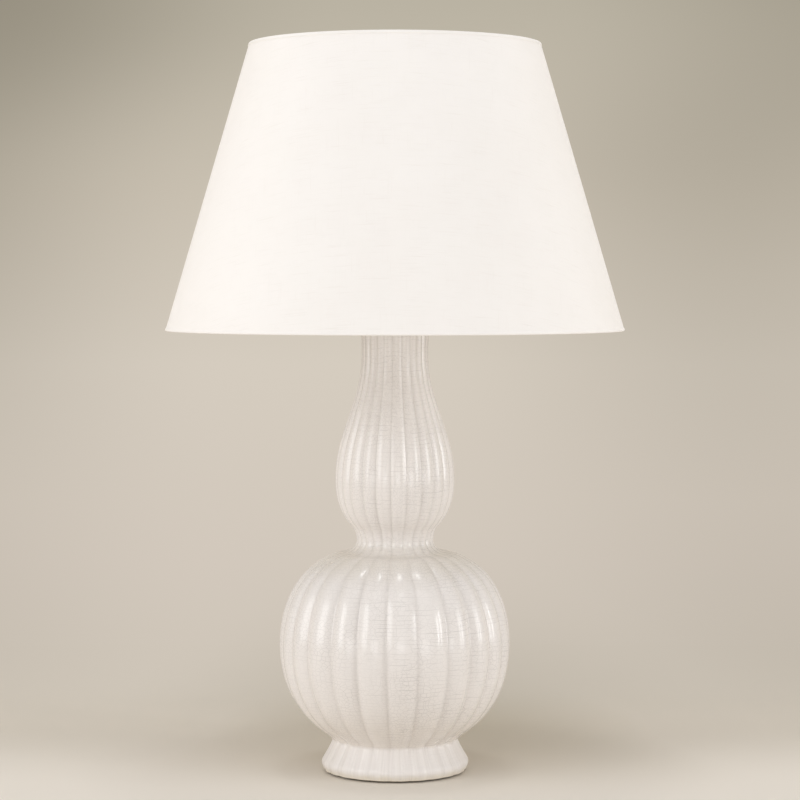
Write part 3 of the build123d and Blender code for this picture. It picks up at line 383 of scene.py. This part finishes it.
def makePlain(name, colour, worn, roughness, plain=None, clouds=60.0, grain=1500.0, bump=0.1, rings=0.0):
    # the simple finishes: two tones and the gloss go by wear, and the bump has grain or turned rings
    material, tree, skin, at = newMaterial(name, plain or {})
    wear = useGroup(tree, surfaceWear, {"Vector": at, "Clouds": clouds, "Grain": grain})
    tree.links.new(blendTone(tree, wear["Cloud"], colour, worn), skin.inputs["Base Color"])
    tree.links.new(spread(tree, wear["Cloud"], 0.0, 1.0, *roughness), skin.inputs["Roughness"])
    height = wear["Fine"]
    if rings:
        marks = useGroup(tree, turnedMarks, {"Vector": at, "Rings": rings})
        height = maths(tree, "MULTIPLY_ADD", marks["Ring"], 0.8, times(tree, height, 0.3))
    addBump(tree, skin, height, bump, 0.0001)
    return material


def dress(piece, material, body, node):
    # the piece gets its material and the body that it rides on, and the CAD node that it takes the place of is
    # hidden
    piece.data.materials.clear()
    piece.data.materials.append(material)
    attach(piece, body)
    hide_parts(node)


# glazed gourd

gourdShape = {  # the outline of the CAD body, in millimetres
    "feltTop": 2.0, "footBottom": 72.3, "footRim": 75.0, "edgeHeight": 7.0, "rimHeight": 9.6,
    "crease": 62.3, "creaseHeight": 34.0, "footFlare": 1.25,
    "belly": 116.0, "bellyHeight": 126.5, "bellyFullness": 2.9, "bellyEase": 0.9,
    "shoulderHeight": 222.0, "shoulderFullness": 2.15,
    "waist": 38.5, "waistHeight": 231.0, "waistHollow": 4.8, "waistDrop": 5.5, "waistRise": 14.0,
    "pearStart": 240.5, "pear": 59.8, "pearHeight": 295.5, "pearFullness": 2.55,
    "neck": 33.4, "neckHeight": 417.0, "mouth": 34.5, "mouthHeight": 454.0,
    "wall": 7.0, "floorTop": 40.0, "floorUnder": 32.0, "footWall": 11.0, "pipeHole": 5.8,
    "flutes": 24, "fluteTurn": 3.0, "fluteDepth": 0.036, "footFluteDepth": 0.013, "valley": 0.08,
    "chipTurn": 79.0, "chipDepth": 3.2, "chipReach": 3.2,  # a knocked corner low on the rim, at the right
    "columnsPerFlute": 20, "chartRadius": 85.0, "lip": 1.2,
    # how many degrees each groove strays, from the back round by the left to the back again
    "strays": [
        0.4, -0.3, 0.6, -0.5, 0.2, 0.5, -0.4, 0.3, -0.2, -0.8, 1.0, 0.1,
        0.2, 1.1, 2.0, 1.3, 0.6, -0.2, 0.4, -0.6, 0.3, 0.5, -0.3, 0.1,
    ],
}


def between(start, end, share):
    return start + (end - start) * share


def gourdOutline(s):
    # belly: radius swells as 1 - (1 - share) ** (fullness - ease * share)
    share = np.array([0, 0.1, 0.24, 0.4, 0.58, 0.78, 1.0])
    swell = 1 - (1 - share) ** (s["bellyFullness"] - s["bellyEase"] * share)
    belly = [between(s["crease"], s["belly"], swell), between(s["creaseHeight"], s["bellyHeight"], share)]
    # shoulder: a quarter of a superellipse
    turn = np.radians([18, 36, 52, 66, 77, 85])
    power = 2 / s["shoulderFullness"]
    shoulder = [
        between(s["waist"], s["belly"], np.cos(turn) ** power),
        between(s["bellyHeight"], s["shoulderHeight"], np.sin(turn) ** power),
    ]
    # waist: part of a half turn, reaching further up than down
    turn = np.radians([-60, -30, 0, 30, 60])
    reach = np.where(turn > 0, s["waistRise"], s["waistDrop"])
    waist = [s["waist"] + s["waistHollow"] * (1 - np.cos(turn)), s["waistHeight"] + reach * np.sin(turn)]
    # upper gourd: the belly's swell again, then half a cosine wave to the neck, then a square to the mouth
    share = np.array([0.2, 0.34, 0.5, 0.72, 1.0])
    swell = 1 - (1 - share) ** s["pearFullness"]
    pear = [between(s["waist"], s["pear"], swell), between(s["pearStart"], s["pearHeight"], share)]
    share = np.arange(1, 7) / 6
    draw = [
        between(s["neck"], s["pear"], (1 + np.cos(np.pi * share)) / 2),
        between(s["pearHeight"], s["neckHeight"], share),
    ]
    share = np.arange(1, 3) / 2
    mouth = [between(s["neck"], s["mouth"], share**2), between(s["neckHeight"], s["mouthHeight"], share)]
    return np.concatenate([np.stack(part, 1) for part in (belly, shoulder, waist, pear, draw, mouth)])


def bentBetween(start, corner, end, count):
    # a curve that leaves start towards the corner and comes to end from it: a square of the share
    t = np.linspace(0, 1, count)[:, None]
    start, corner, end = (np.array(point, float) for point in (start, corner, end))
    return (1 - t) ** 2 * start + 2 * t * (1 - t) * corner + t**2 * end


def makeGourd():
    s = gourdShape
    lip = s["lip"]
    outer = lineThrough(gourdOutline(s), 104)
    slope = np.gradient(outer, axis=0)
    slope /= np.hypot(*slope.T)[:, None]
    inner = outer + s["wall"] * np.stack([-slope[:, 1], slope[:, 0]], 1)
    inner = inner[(inner[:, 1] > s["floorTop"] + 5) & (inner[:, 1] < s["mouthHeight"] - 4)][::-4]
    share = np.linspace(0.999, 0, 24)
    flare = np.stack([
        between(s["crease"], s["footRim"], share ** s["footFlare"]),
        between(s["creaseHeight"], s["rimHeight"], share),
    ], 1)
    # the rim, up from its edge on the felt round its outer corner, and the fillet where foot and belly meet
    start, corner = (s["footBottom"] - 0.1, s["feltTop"] + 1.4), (s["footRim"] + 0.7, s["rimHeight"] - 0.4)
    rimRound = np.concatenate([
        quarter((s["footBottom"] - lip, s["feltTop"] + lip), (lip, lip), -88, -20, 3),
        bentBetween(start, corner, flare[4], 9),
    ])
    fillet = bentBetween(flare[-4], flare[-1], outer[3], 9)
    recess = [s["footBottom"] - s["footWall"], s["crease"] - s["footWall"]]
    bore = s["mouth"] - s["wall"]
    # the floor of the inside and the ceiling of the recess, each with its corners eased
    floorLine = [
        [s["crease"] - 0.5, s["floorTop"] + 2], [s["crease"] - 3.5, s["floorTop"]],
        [s["pipeHole"] + 0.5, s["floorTop"]], [s["pipeHole"], s["floorTop"] - 0.5],
    ]
    ceilingLine = [
        [s["pipeHole"], s["floorUnder"] + 0.5], [s["pipeHole"] + 0.5, s["floorUnder"]],
        [recess[1] - 2, s["floorUnder"]], [recess[1], s["floorUnder"] - 2],
    ]
    mouthEdge = s["mouthHeight"] - lip
    parts = [  # once round the wall's section, from the foot's edge up the outside and back through the inside
        ("foot", rimRound), ("foot", flare[5:-4]), ("foot", fillet[:4]),
        ("glaze", fillet[4:]), ("glaze", outer[4:-1]),
        ("glaze", quarter((s["mouth"] - lip, mouthEdge), (lip, lip), 0, 90, 4)),
        ("bare", quarter((bore + lip, mouthEdge), (lip, lip), 90, 180, 4)),
        ("bare", inner), ("bare", np.array(floorLine)), ("bare", np.array(ceilingLine)),
        ("bare", straight((recess[1] + 1, s["floorUnder"] - 4), (recess[0] - 0.5, s["feltTop"] + 1.2), 6)),
        ("bare", quarter((recess[0] + 0.9, s["feltTop"] + 1.0), (1.0, 1.0), 180, 270, 4)),
        ("bare", np.array([[s["footBottom"] - 3.5, s["feltTop"]]])),
    ]
    profile = np.concatenate([points for kind, points in parts])
    kinds = np.concatenate([[kind] * len(points) for kind, points in parts])
    height = profile[:, 1]
    isFoot, isBare = kinds == "foot", kinds == "bare"
    gourdDepth = profile[:, 0] * s["fluteDepth"]
    footDepth = s["footRim"] * s["footFluteDepth"]
    # the foot's shallow flutes deepen to the belly's over the last few millimetres below the crease
    nearCrease = np.clip((height - (s["creaseHeight"] - 7)) / 7, 0, 1)
    footDepth = between(footDepth, s["crease"] * s["fluteDepth"], nearCrease)
    depth = np.where(isFoot, footDepth, gourdDepth) * ~isBare
    # columns stand closer together in the valleys: each flute's share is moved by a sine
    pitch = 360 / s["flutes"]
    valleys = s["fluteTurn"] - 180 - pitch / 2 + pitch * np.arange(s["flutes"]) + np.array(s["strays"])
    valleys = np.append(valleys, valleys[0] + 360)
    step = np.arange(s["columnsPerFlute"]) / s["columnsPerFlute"]
    share = step - 0.5 * np.sin(2 * np.pi * step) / (2 * np.pi)
    turn = (valleys[:-1, None] + share[None, :] * np.diff(valleys)[:, None]).reshape(-1)
    share = np.tile(share, s["flutes"])
    # flute: the radius falls from the crest as the square of (1 - t), where t is the distance from the valley,
    # rounded off near the valley
    t = 1 - np.abs(2 * share - 1)
    soft = s["valley"]
    t = (np.sqrt(t**2 + soft**2) - soft) / (np.sqrt(1 + soft**2) - soft)
    fall = (1 - t) ** 2
    angle = np.radians(turn)
    rise = height[:, None]
    # the handwork: flutes that sway a little, a body that isn't quite round, and flutes of uneven depth
    wobble = np.radians(0.35) * np.sin(3 * angle + rise / 60 + 1.0) * np.sin(rise / 75 + 0.6)
    outRound = 1 + 0.0022 * np.sin(2 * angle + 0.7 + rise / 150) + 0.0012 * np.sin(5 * angle + rise / 40)
    outRound = np.where(isBare[:, None], 1.0, outRound)
    uneven = 1 + 0.14 * np.sin(7 * angle + 1.3 + rise / 90) + 0.1 * np.sin(4 * angle - rise / 55)
    radius = profile[:, :1] * outRound - depth[:, None] * uneven * fall[None, :]
    standing = np.minimum(radius, s["belly"])
    # the chip takes a bite out of the low edge, deepest at its middle and gone above the rim
    chip = np.exp(-((np.degrees(angle) - s["chipTurn"]) / s["chipReach"]) ** 4) * s["chipDepth"]
    low = (isFoot & (height < s["edgeHeight"] - 0.6)).astype(float)[:, None]
    standing = standing - chip[None, :] * low
    heights = rise + 0 * standing
    grid = np.stack([standing * np.sin(angle + wobble), -standing * np.cos(angle + wobble), heights], -1) * mm
    run = np.concatenate([[0], np.cumsum(np.hypot(*np.diff(profile, axis=0).T))])
    run = np.append(run, run[-1] + np.hypot(*(profile[0] - profile[-1])))
    around = np.append(angle, angle[0] + 2 * np.pi) * s["chartRadius"]
    chart = np.stack(np.broadcast_arrays(around[None, :], run[:, None]), -1) * mm
    marks = {
        "groove": fall[None, :] * ~isBare[:, None],
        "foot": (isFoot & (height < s["creaseHeight"] - 0.5)).astype(float)[:, None],
        "bare": (isBare | (height < s["feltTop"] + 0.3)).astype(float)[:, None],
    }
    return meshFromGrid("fluted_gourd", grid, closeRows=True, chart=chart, marks=marks, sharp=50)


def pierceFoot(piece):
    # the flex hole and its flat seat, cut at the back of the foot with a turned plug on the Y axis
    profile = np.array([[0, 45.0], [6.4, 45.0], [6.4, 66.5], [8.5, 66.5], [9.0, 82.0], [0, 82.0]])
    turn = np.linspace(0, 2 * np.pi, 64, endpoint=False)
    radius, depth = profile[:, :1], profile[:, 1:]
    grid = np.stack([radius * np.cos(turn), depth + 0 * turn, 16.0 + radius * np.sin(turn)], -1) * mm
    plug = meshFromGrid("flex_plug", grid[::-1])
    closePoles(plug)
    cut = piece.modifiers.new("flexHole", "BOOLEAN")
    cut.operation, cut.solver, cut.object = "DIFFERENCE", "EXACT", plug
    bpy.context.view_layer.update()
    shown = piece.evaluated_get(bpy.context.evaluated_depsgraph_get())
    old = piece.data
    piece.data = bpy.data.meshes.new_from_object(shown)
    piece.modifiers.clear()
    bpy.data.meshes.remove(old)
    bpy.data.objects.remove(plug)


gourd = makeGourd()
pierceFoot(gourd)
dress(gourd, makeGlaze(), "root", "gourd_body")
print("gourd made:", len(gourd.data.polygons), "faces")


# shade

shadeShape = {
    "top": 144.7, "bottom": 228.7, "topHeight": 727.4, "bottomHeight": 442.6,
    "sheet": 0.5, "hemSheet": 0.45, "gap": 0.05, "hemLeg": 3.0, "hemTuck": 2.4, "wire": 1.6,
    "lap": 12.0,  # the cloth's end laps over its start at the back
    "columns": 384,
}


def shadeRadius(height):
    s = shadeShape
    drop = s["topHeight"] - s["bottomHeight"]
    return s["top"] + (s["bottom"] - s["top"]) * (s["topHeight"] - height) / drop


def clothGrid(offset, low, high, rows):
    # a cone: x = radius * sin(turn), y = -radius * cos(turn), the radius falling evenly with height;
    # the chart is the cone unrolled, so the threads run straight in the flat cloth
    s = shadeShape
    height = np.linspace(low, high, rows)[:, None]
    turn = np.linspace(-np.pi, np.pi, s["columns"], endpoint=False)[None, :]
    pull = 0.12 * np.sin(9 * turn + 0.5) * np.sin(np.pi * (height - low) / (high - low))
    lapped = 0.35 * (turn < -np.pi + s["lap"] / s["bottom"]) * (offset >= 0)
    radius = shadeRadius(height) + offset + pull + lapped
    grid = np.stack([radius * np.sin(turn), -radius * np.cos(turn), height + 0 * turn], -1) * mm
    lean = (s["bottom"] - s["top"]) / math.hypot(s["bottom"] - s["top"], s["topHeight"] - s["bottomHeight"])
    far = shadeRadius(height) / lean
    around = np.linspace(-np.pi, np.pi, s["columns"] + 1)[None, :] * lean
    return grid, np.stack([far * np.sin(around), -far * np.cos(around)], -1) * mm


def makeShadeCloth():
    s = shadeShape
    low, high = s["bottomHeight"] + s["hemSheet"] + s["gap"], s["topHeight"] - s["hemSheet"] - s["gap"]
    outside, chart = clothGrid(0.0, low, high, 24)
    inside, insideChart = clothGrid(-s["sheet"], high, low, 24)
    grid = np.concatenate([outside, inside])
    chart = np.concatenate([chart, insideChart, chart[:1]])
    return meshFromGrid("shade_cloth", grid, closeRows=True, chart=chart, sharp=50)


def makeHem(name, rim, way):
    # a strip folded over the rim and its wire: the outer leg, the rounded fold, and the inner leg, which
    # tucks behind the wire
    s = shadeShape
    thick, gap = s["hemSheet"], s["gap"]
    lean = (s["bottom"] - s["top"]) / (s["topHeight"] - s["bottomHeight"])
    fold = rim - way * thick
    wireHeight = fold - way * (gap + s["wire"])
    wireRadius = shadeRadius(wireHeight) - 2 * s["sheet"] - 2 * gap - s["wire"] * math.hypot(1, lean)
    innerFace = wireRadius - s["wire"] - gap
    outerLeg, tuck = rim - way * s["hemLeg"], rim - way * s["hemTuck"]
    corner = 1.1
    outerTop = shadeRadius(rim - way * corner) + gap + thick
    legStart, bend = outerLeg + way * 0.3, rim - way * corner
    skin = shadeRadius(outerLeg) + gap
    section = np.concatenate([
        np.array([[skin, outerLeg], [skin + thick * 0.8, outerLeg + way * 0.05]]),
        straight((shadeRadius(legStart) + gap + thick, legStart), (outerTop, bend), 4),
        quarter((outerTop - corner, bend), (corner, way * corner), 15, 90, 6),
        quarter((innerFace - thick + corner, bend), (corner, way * corner), 90, 180, 7),
        np.array([[innerFace - thick, tuck], [innerFace - thick * 0.5, tuck - way * 0.12], [innerFace, tuck]]),
        np.array([[innerFace, fold - way * 0.6], [innerFace + 0.6, fold]]),
        np.array([[shadeRadius(fold) + gap - 0.1, fold]]),
    ])
    return turned(name, section[::way], segments=s["columns"], sharp=55)


shadeCloth = makeShadeCloth()
topHem = makeHem("top_rim_hem", shadeShape["topHeight"], 1)
bottomHem = makeHem("bottom_rim_hem", shadeShape["bottomHeight"], -1)
clothMaterial = makeCloth("shadeLinen")
hemMaterial = makeCloth("hemLinen", slubs=0.6)
dress(shadeCloth, clothMaterial, "shade", "shade_fabric")
dress(topHem, hemMaterial, "shade", "top_hem")
dress(bottomHem, hemMaterial, "shade", "bottom_hem")
print("shade made:", len(shadeCloth.data.polygons), "faces")


# felt under the foot

feltShape = {"radius": 67.6, "height": 2.0, "edge": 0.5}


def makeFelt():
    f = feltShape
    profile = np.concatenate([
        np.array([[0, 0], [20.0, 0.0], [45.0, 0.0]]),
        quarter((f["radius"] - f["edge"], f["edge"]), (f["edge"], f["edge"]), -90, 0, 4),
        quarter((f["radius"] - f["edge"], f["height"] - f["edge"]), (f["edge"], f["edge"]), 0, 90, 4),
        np.array([[45.0, f["height"]], [20.0, f["height"]], [0, f["height"]]]),
    ])
    return turned("felt_disc", profile, segments=144, closed=False)


felt = makeFelt()
nap = {"Sheen Weight": 0.3, "Sheen Roughness": 0.6, "Specular IOR Level": 0.15}
wool = makePlain("woolFelt", tone(104, 98, 88), tone(124, 118, 106), (0.92, 0.98), nap, 180.0, 2600.0, 0.8)
dress(felt, wool, "root", "felt_pad")
print("felt made")


# bulb

bulbShape = {
    "round": 30.0, "centreHeight": 600.4, "taperTurn": 30.0, "neck": 11.7, "foot": 538.0, "wall": 0.8,
    "fillet": 8.4,
}


def bulbLine(wall):
    # a round end, a straight taper touching it, and the neck; the corner where they meet is eased
    b = bulbShape
    radius, neck = b["round"] - wall, b["neck"] - wall
    dome = quarter((0, b["centreHeight"]), (radius, radius), 90, -b["taperTurn"], 40)
    turn = math.radians(b["taperTurn"])
    end = dome[-1]
    corner = end[1] - (end[0] - neck) * math.cos(turn) / math.sin(turn)
    down = np.array([-math.sin(turn), -math.cos(turn)])
    before = np.array([neck, corner]) - down * b["fillet"]
    after = np.array([neck, corner - b["fillet"]])
    ease = bentBetween(before, (neck, corner), after, 12)
    low = straight(after, (neck, b["foot"]), 4)[1:]
    return np.concatenate([dome, straight(end, before, 6)[1:-1], ease, low])


def makeBulb():
    outside, inside = bulbLine(0.0), bulbLine(bulbShape["wall"])
    outside[0, 0] = inside[0, 0] = 0
    return turned("bulb_envelope", np.concatenate([inside, outside[::-1]]), segments=96, closed=False)


bulb = makeBulb()
plain = {"Base Color": tone(252, 251, 248), "Transmission Weight": 0.25, "IOR": 1.5}
material, tree, skin, at = newMaterial("frostedGlass", plain)
wear = useGroup(tree, surfaceWear, {"Vector": at, "Clouds": 40.0, "Grain": 3000.0})
tree.links.new(spread(tree, wear["Cloud"], 0.0, 1.0, 0.34, 0.46), skin.inputs["Roughness"])
addBump(tree, skin, wear["Fine"], 0.25, 0.00005)
dress(bulb, material, "bulb", "bulb_glass")
print("bulb made")


# finishes on the CAD nodes

# slot: the material's name, its colour and its worn colour, the lowest and highest roughness, other plain
# inputs, the scales of the clouds and of the grain, the bump's strength, the rings' scale
metal = {"Metallic": 1.0}
clearGlass = {"Transmission Weight": 0.9, "IOR": 1.52}
finishes = {
    "brass_plate": (
        "brassPlate", (214, 178, 112), (190, 150, 88), (0.2, 0.34), metal, 50.0, 2200.0, 0.12, 2600.0),
    "zinc_steel": ("zincSteel", (196, 198, 200), (168, 168, 164), (0.3, 0.45), metal, 120.0, 2500.0, 0.2),
    "aluminium": (
        "aluminium", (214, 214, 212), (190, 190, 188), (0.28, 0.4), metal, 90.0, 2500.0, 0.15, 2600.0),
    "solder": ("solder", (182, 182, 180), (140, 140, 138), (0.35, 0.5), metal, 300.0, 3000.0, 0.3),
    "filament": ("filament", (120, 118, 116), (90, 88, 86), (0.35, 0.5), metal, 300.0, 3000.0, 0.3),
    "grommet_rubber": ("grommetRubber", (206, 200, 190), (190, 184, 172), (0.5, 0.62), {}, 90.0, 2600.0, 0.2),
    "gasket_rubber": ("gasketRubber", (58, 57, 56), (72, 70, 68), (0.6, 0.75), {}, 90.0, 2600.0, 0.3),
    "fibre_card": ("fibreCard", (92, 74, 58), (70, 56, 44), (0.75, 0.9), {}, 200.0, 2600.0, 0.5),
    "moulded_black": ("mouldedBlack", (34, 32, 31), (46, 44, 42), (0.28, 0.42), {}, 80.0, 2600.0, 0.15),
    "knob_black": ("knobBlack", (26, 25, 25), (38, 37, 36), (0.3, 0.4), {}, 80.0, 2600.0, 0.15),
    "bulb_insulator": ("bulbInsulator", (30, 30, 34), (44, 44, 48), (0.12, 0.25), {}, 200.0, 2600.0, 0.15),
    "stem_glass": (
        "stemGlass", (236, 240, 238), (228, 232, 230), (0.05, 0.12), clearGlass, 200.0, 2600.0, 0.05),
    "shade_backing": ("shadeBacking", (247, 244, 239), (241, 237, 230), (0.42, 0.55), {}, 12.0, 1800.0, 0.1),
    "white_wire": ("whiteWire", (240, 238, 233), (228, 224, 216), (0.3, 0.45), {}, 90.0, 2200.0, 0.15),
}
nodeSlots = {
    "brass_plate": [
        "neck_cap", "check_ring", "neck_spacer", "harp_saddle", "socket_cap", "socket_shell",
        "terminal_screw_brass", "centre_contact", "switch_shaft", "harp", "harp_ferrule_left",
        "harp_ferrule_right", "harp_stud", "finial",
    ],
    "zinc_steel": ["lamp_pipe", "base_plate", "lock_washer", "base_nut", "set_screw", "terminal_screw_silver"],
    "white_wire": ["bottom_ring", "shade_fitter"],
    "grommet_rubber": ["cord_grommet"], "gasket_rubber": ["base_gasket", "neck_gasket"],
    "fibre_card": ["socket_liner"], "moulded_black": ["socket_core"], "knob_black": ["switch_knob"],
    "aluminium": ["screw_shell", "bulb_cap"], "solder": ["bulb_tip"], "bulb_insulator": ["bulb_insulator"],
    "stem_glass": ["bulb_stem"], "filament": ["bulb_filament"], "shade_backing": ["shade_backing"],
}
for slot, (name, colour, worn, *rest) in finishes.items():
    finish = makePlain(name, tone(*colour), tone(*worn), *rest)
    for node in nodeSlots[slot]:
        mesh = nodes[node].data
        mesh.materials.clear()
        mesh.materials.append(finish)
print("finishes given to", sum(len(names) for names in nodeSlots.values()), "nodes")


# floor and backdrop

backdropLook = {
    # the shadow tones paint the lamp's shadow on the floor and on the wall behind it
    "floor": tone(237, 230, 220), "paintedShadow": tone(198, 189, 173), "wallPaintedShadow": tone(168, 160, 145),
    "paintedShadowCentre": (0.04, 0.26), "paintedShadowReach": (0.42, 0.5),
    "wallTop": 0.9,  # the wall's tones run from the floor to this height, as shares of it
    "wall": [
        (0.0, tone(206, 197, 184)), (0.14, tone(210, 200, 188)), (0.42, tone(213, 204, 191)),
        (0.68, tone(201, 192, 177)), (1.0, tone(184, 177, 161)),
    ],
    "corner": tone(140, 133, 118), "cornerReach": (0.12, 0.62), "rightLift": 0.42,
    "near": -2.6, "far": 0.9, "bend": 0.5, "width": 4.0, "top": 3.2,
}


def makeBackdrop():
    # a sheet that runs back along the floor, turns up through a quarter circle and rises
    b = backdropLook
    bend = b["bend"]
    turn = np.linspace(0, np.pi / 2, 24)
    side = np.concatenate([
        np.stack([np.linspace(b["near"], b["far"] - bend, 12)[:-1], np.zeros(11)], 1),
        np.stack([b["far"] - bend + bend * np.sin(turn), bend - bend * np.cos(turn)], 1),
        np.stack([np.full(10, b["far"]), np.linspace(bend, b["top"], 11)[1:]], 1),
    ])
    across = np.linspace(-b["width"], b["width"], 9)
    grid = np.stack(np.broadcast_arrays(across[None, :], side[:, :1], side[:, 1:]), -1)
    return meshFromGrid("backdrop", grid, closeColumns=False, sharp=60)


def makePaper():
    look = backdropLook
    plain = {"Roughness": 0.9, "Specular IOR Level": 0.1}
    material, tree, skin, at = newMaterial("backdropPaper", plain)
    sides = place(tree, "ShaderNodeSeparateXYZ", {0: at}).outputs
    # painted shadow: the paper is darker behind the lamp, where the lamp's shadow falls: a soft oval patch, and
    # a weaker band right across
    offX, offY = (
        maths(tree, "DIVIDE", maths(tree, "SUBTRACT", sides[i], look["paintedShadowCentre"][i]), look["paintedShadowReach"][i])
        for i in (0, 1)
    )
    away = maths(tree, "SQRT", maths(tree, "ADD", times(tree, offX, offX), times(tree, offY, offY)))
    paintedShadow = spread(tree, away, 0.0, 1.0, 1.0, 0.0, smooth=True)
    band = spread(tree, sides[1], -0.05, 0.25, 0.0, 0.4, smooth=True)
    floor = blendTone(tree, maths(tree, "MAXIMUM", paintedShadow, band), look["floor"], look["paintedShadow"])
    tree.links.new(floor, skin.inputs["Base Color"])
    # painted light on the wall: its glowing tone by height, with painted shade darker to the sides and a centre
    # that wanders to the right higher up
    upward = place(tree, "ShaderNodeValToRGB", {0: spread(tree, sides[2], 0.0, look["wallTop"], 0.0, 1.0)})
    ramp = upward.color_ramp
    for k, (position, colour) in enumerate(look["wall"][:1] + look["wall"][-1:]):
        ramp.elements[k].position, ramp.elements[k].color = position, colour
    for position, colour in look["wall"][1:-1]:
        ramp.elements.new(position).color = colour
    centre = spread(tree, sides[2], 0.62, 0.86, -0.1, 0.05, smooth=True)
    sideways = maths(tree, "ABSOLUTE", maths(tree, "SUBTRACT", sides[0], centre))
    cornerShare = spread(tree, sideways, *look["cornerReach"], 0.0, 0.8, smooth=True)
    cornerShare = times(tree, cornerShare, spread(tree, sides[2], 0.2, 0.9, 0.25, 1.0))
    # painted light: the upper right corner is a little lighter than the upper left one
    toRight = spread(tree, sides[0], 0.0, 0.6, 0.0, look["rightLift"])
    lifted = times(tree, toRight, spread(tree, sides[2], 0.1, 0.5, 0.0, 1.0))
    cornerShare = times(tree, cornerShare, maths(tree, "SUBTRACT", 1.0, lifted))
    colour = blendTone(tree, cornerShare, upward.outputs[0], look["corner"])
    # the painted shadow behind the lamp also darkens the wall's glow
    colour = blendTone(tree, times(tree, paintedShadow, 0.8), colour, look["wallPaintedShadow"])
    glow = place(tree, "ShaderNodeEmission", {"Color": colour, "Strength": 1.0})
    rays = tree.nodes.new("ShaderNodeLightPath").outputs
    seen = maths(tree, "MAXIMUM", rays["Is Glossy Ray"], rays["Is Transmission Ray"])
    seen = maths(tree, "MAXIMUM", rays["Is Camera Ray"], seen)
    wall = spread(tree, sides[1], 0.2, 0.6, 0.0, 1.0, smooth=True)
    mix = {0: times(tree, wall, seen), 1: skin.outputs[0], 2: glow.outputs[0]}
    paper = place(tree, "ShaderNodeMixShader", mix).outputs[0]
    # from behind the sheet is clear, so the lamp can be looked at from every side
    behind = tree.nodes.new("ShaderNodeNewGeometry").outputs["Backfacing"]
    clear = tree.nodes.new("ShaderNodeBsdfTransparent").outputs[0]
    mixed = place(tree, "ShaderNodeMixShader", {0: behind, 1: paper, 2: clear}).outputs[0]
    out = next(node for node in tree.nodes if node.type == "OUTPUT_MATERIAL")
    tree.links.new(mixed, out.inputs["Surface"])
    return material


backdrop = makeBackdrop()
backdrop.data.materials.append(makePaper())
print("backdrop made")


# lights

dayWhite = (0.98, 0.99, 1.0)
lamps = {  # place, aim, width and height in metres, power in watts, colour
    "key": ((-2.2, -1.15, 0.95), (0.0, 0.0, 0.3), (1.5, 1.7), 23.5, dayWhite),
    "rightNear": ((2.05, -1.2, 0.7), (0.0, 0.0, 0.3), (0.14, 1.1), 8.0, dayWhite),
    "rightFar": ((2.3, -0.6, 0.7), (0.0, 0.0, 0.3), (0.14, 1.1), 8.5, dayWhite),
    "front": ((0.0, -3.2, 0.25), (0.0, 0.0, 0.4), (2.4, 0.5), 10.0, dayWhite),
    "top": ((0.1, -0.9, 2.2), (0.0, 0.0, 0.3), (1.0, 0.8), 4.5, dayWhite),
    "ceiling": ((0.0, 0.0, 2.3), (0.0, 0.001, 0.0), (0.4, 0.4), 3.2, (1.0, 1.0, 1.0)),
}


def aimed(holder, at, aim):
    bpy.context.scene.collection.objects.link(holder)
    holder.location = at
    holder.rotation_euler = (Vector(aim) - Vector(at)).to_track_quat("-Z", "Y").to_euler()


for name, (at, aim, size, power, colour) in lamps.items():
    lamp = bpy.data.lights.new(name, "AREA")
    lamp.shape = "RECTANGLE"
    lamp.size, lamp.size_y = size
    lamp.energy, lamp.color = power, colour
    aimed(bpy.data.objects.new(name, lamp), at, aim)

world = bpy.data.worlds.new("studio")
bpy.context.scene.world = world
world.use_nodes = True
tree = world.node_tree
ambient = tree.nodes["Background"]
rays = place(tree, "ShaderNodeLightPath").outputs
colour = blendTone(tree, rays["Is Camera Ray"], (0.97, 0.98, 1.0, 1.0), tone(208, 199, 187))
tree.links.new(colour, ambient.inputs["Color"])
# the room is at half strength, stronger where a shiny skin mirrors it, and full where the camera sees it
level = maths(tree, "MULTIPLY_ADD", rays["Is Glossy Ray"], 0.35, 0.5)
level = maths(tree, "MULTIPLY_ADD", rays["Is Camera Ray"], 0.5, level)
tree.links.new(level, ambient.inputs["Strength"])
print("lights set:", len(lamps))


# camera

cameraSet = {  # in metres; across is the width of the view at the lamp's distance
    "at": (0.005, -2.5, 0.495), "aim": (0.005, 0.0, 0.373), "across": 0.8, "distance": 2.5, "sensor": 36.0,
}
camera = bpy.data.cameras.new("photoCamera")
camera.sensor_width = cameraSet["sensor"]
camera.lens = cameraSet["sensor"] * cameraSet["distance"] / cameraSet["across"]
camera.clip_end = 50.0
viewer = bpy.data.objects.new("photoCamera", camera)
aimed(viewer, cameraSet["at"], cameraSet["aim"])
bpy.context.scene.camera = viewer
bpy.context.scene.view_settings.view_transform = "Standard"
print("camera set")

bpy.context.view_layer.update()
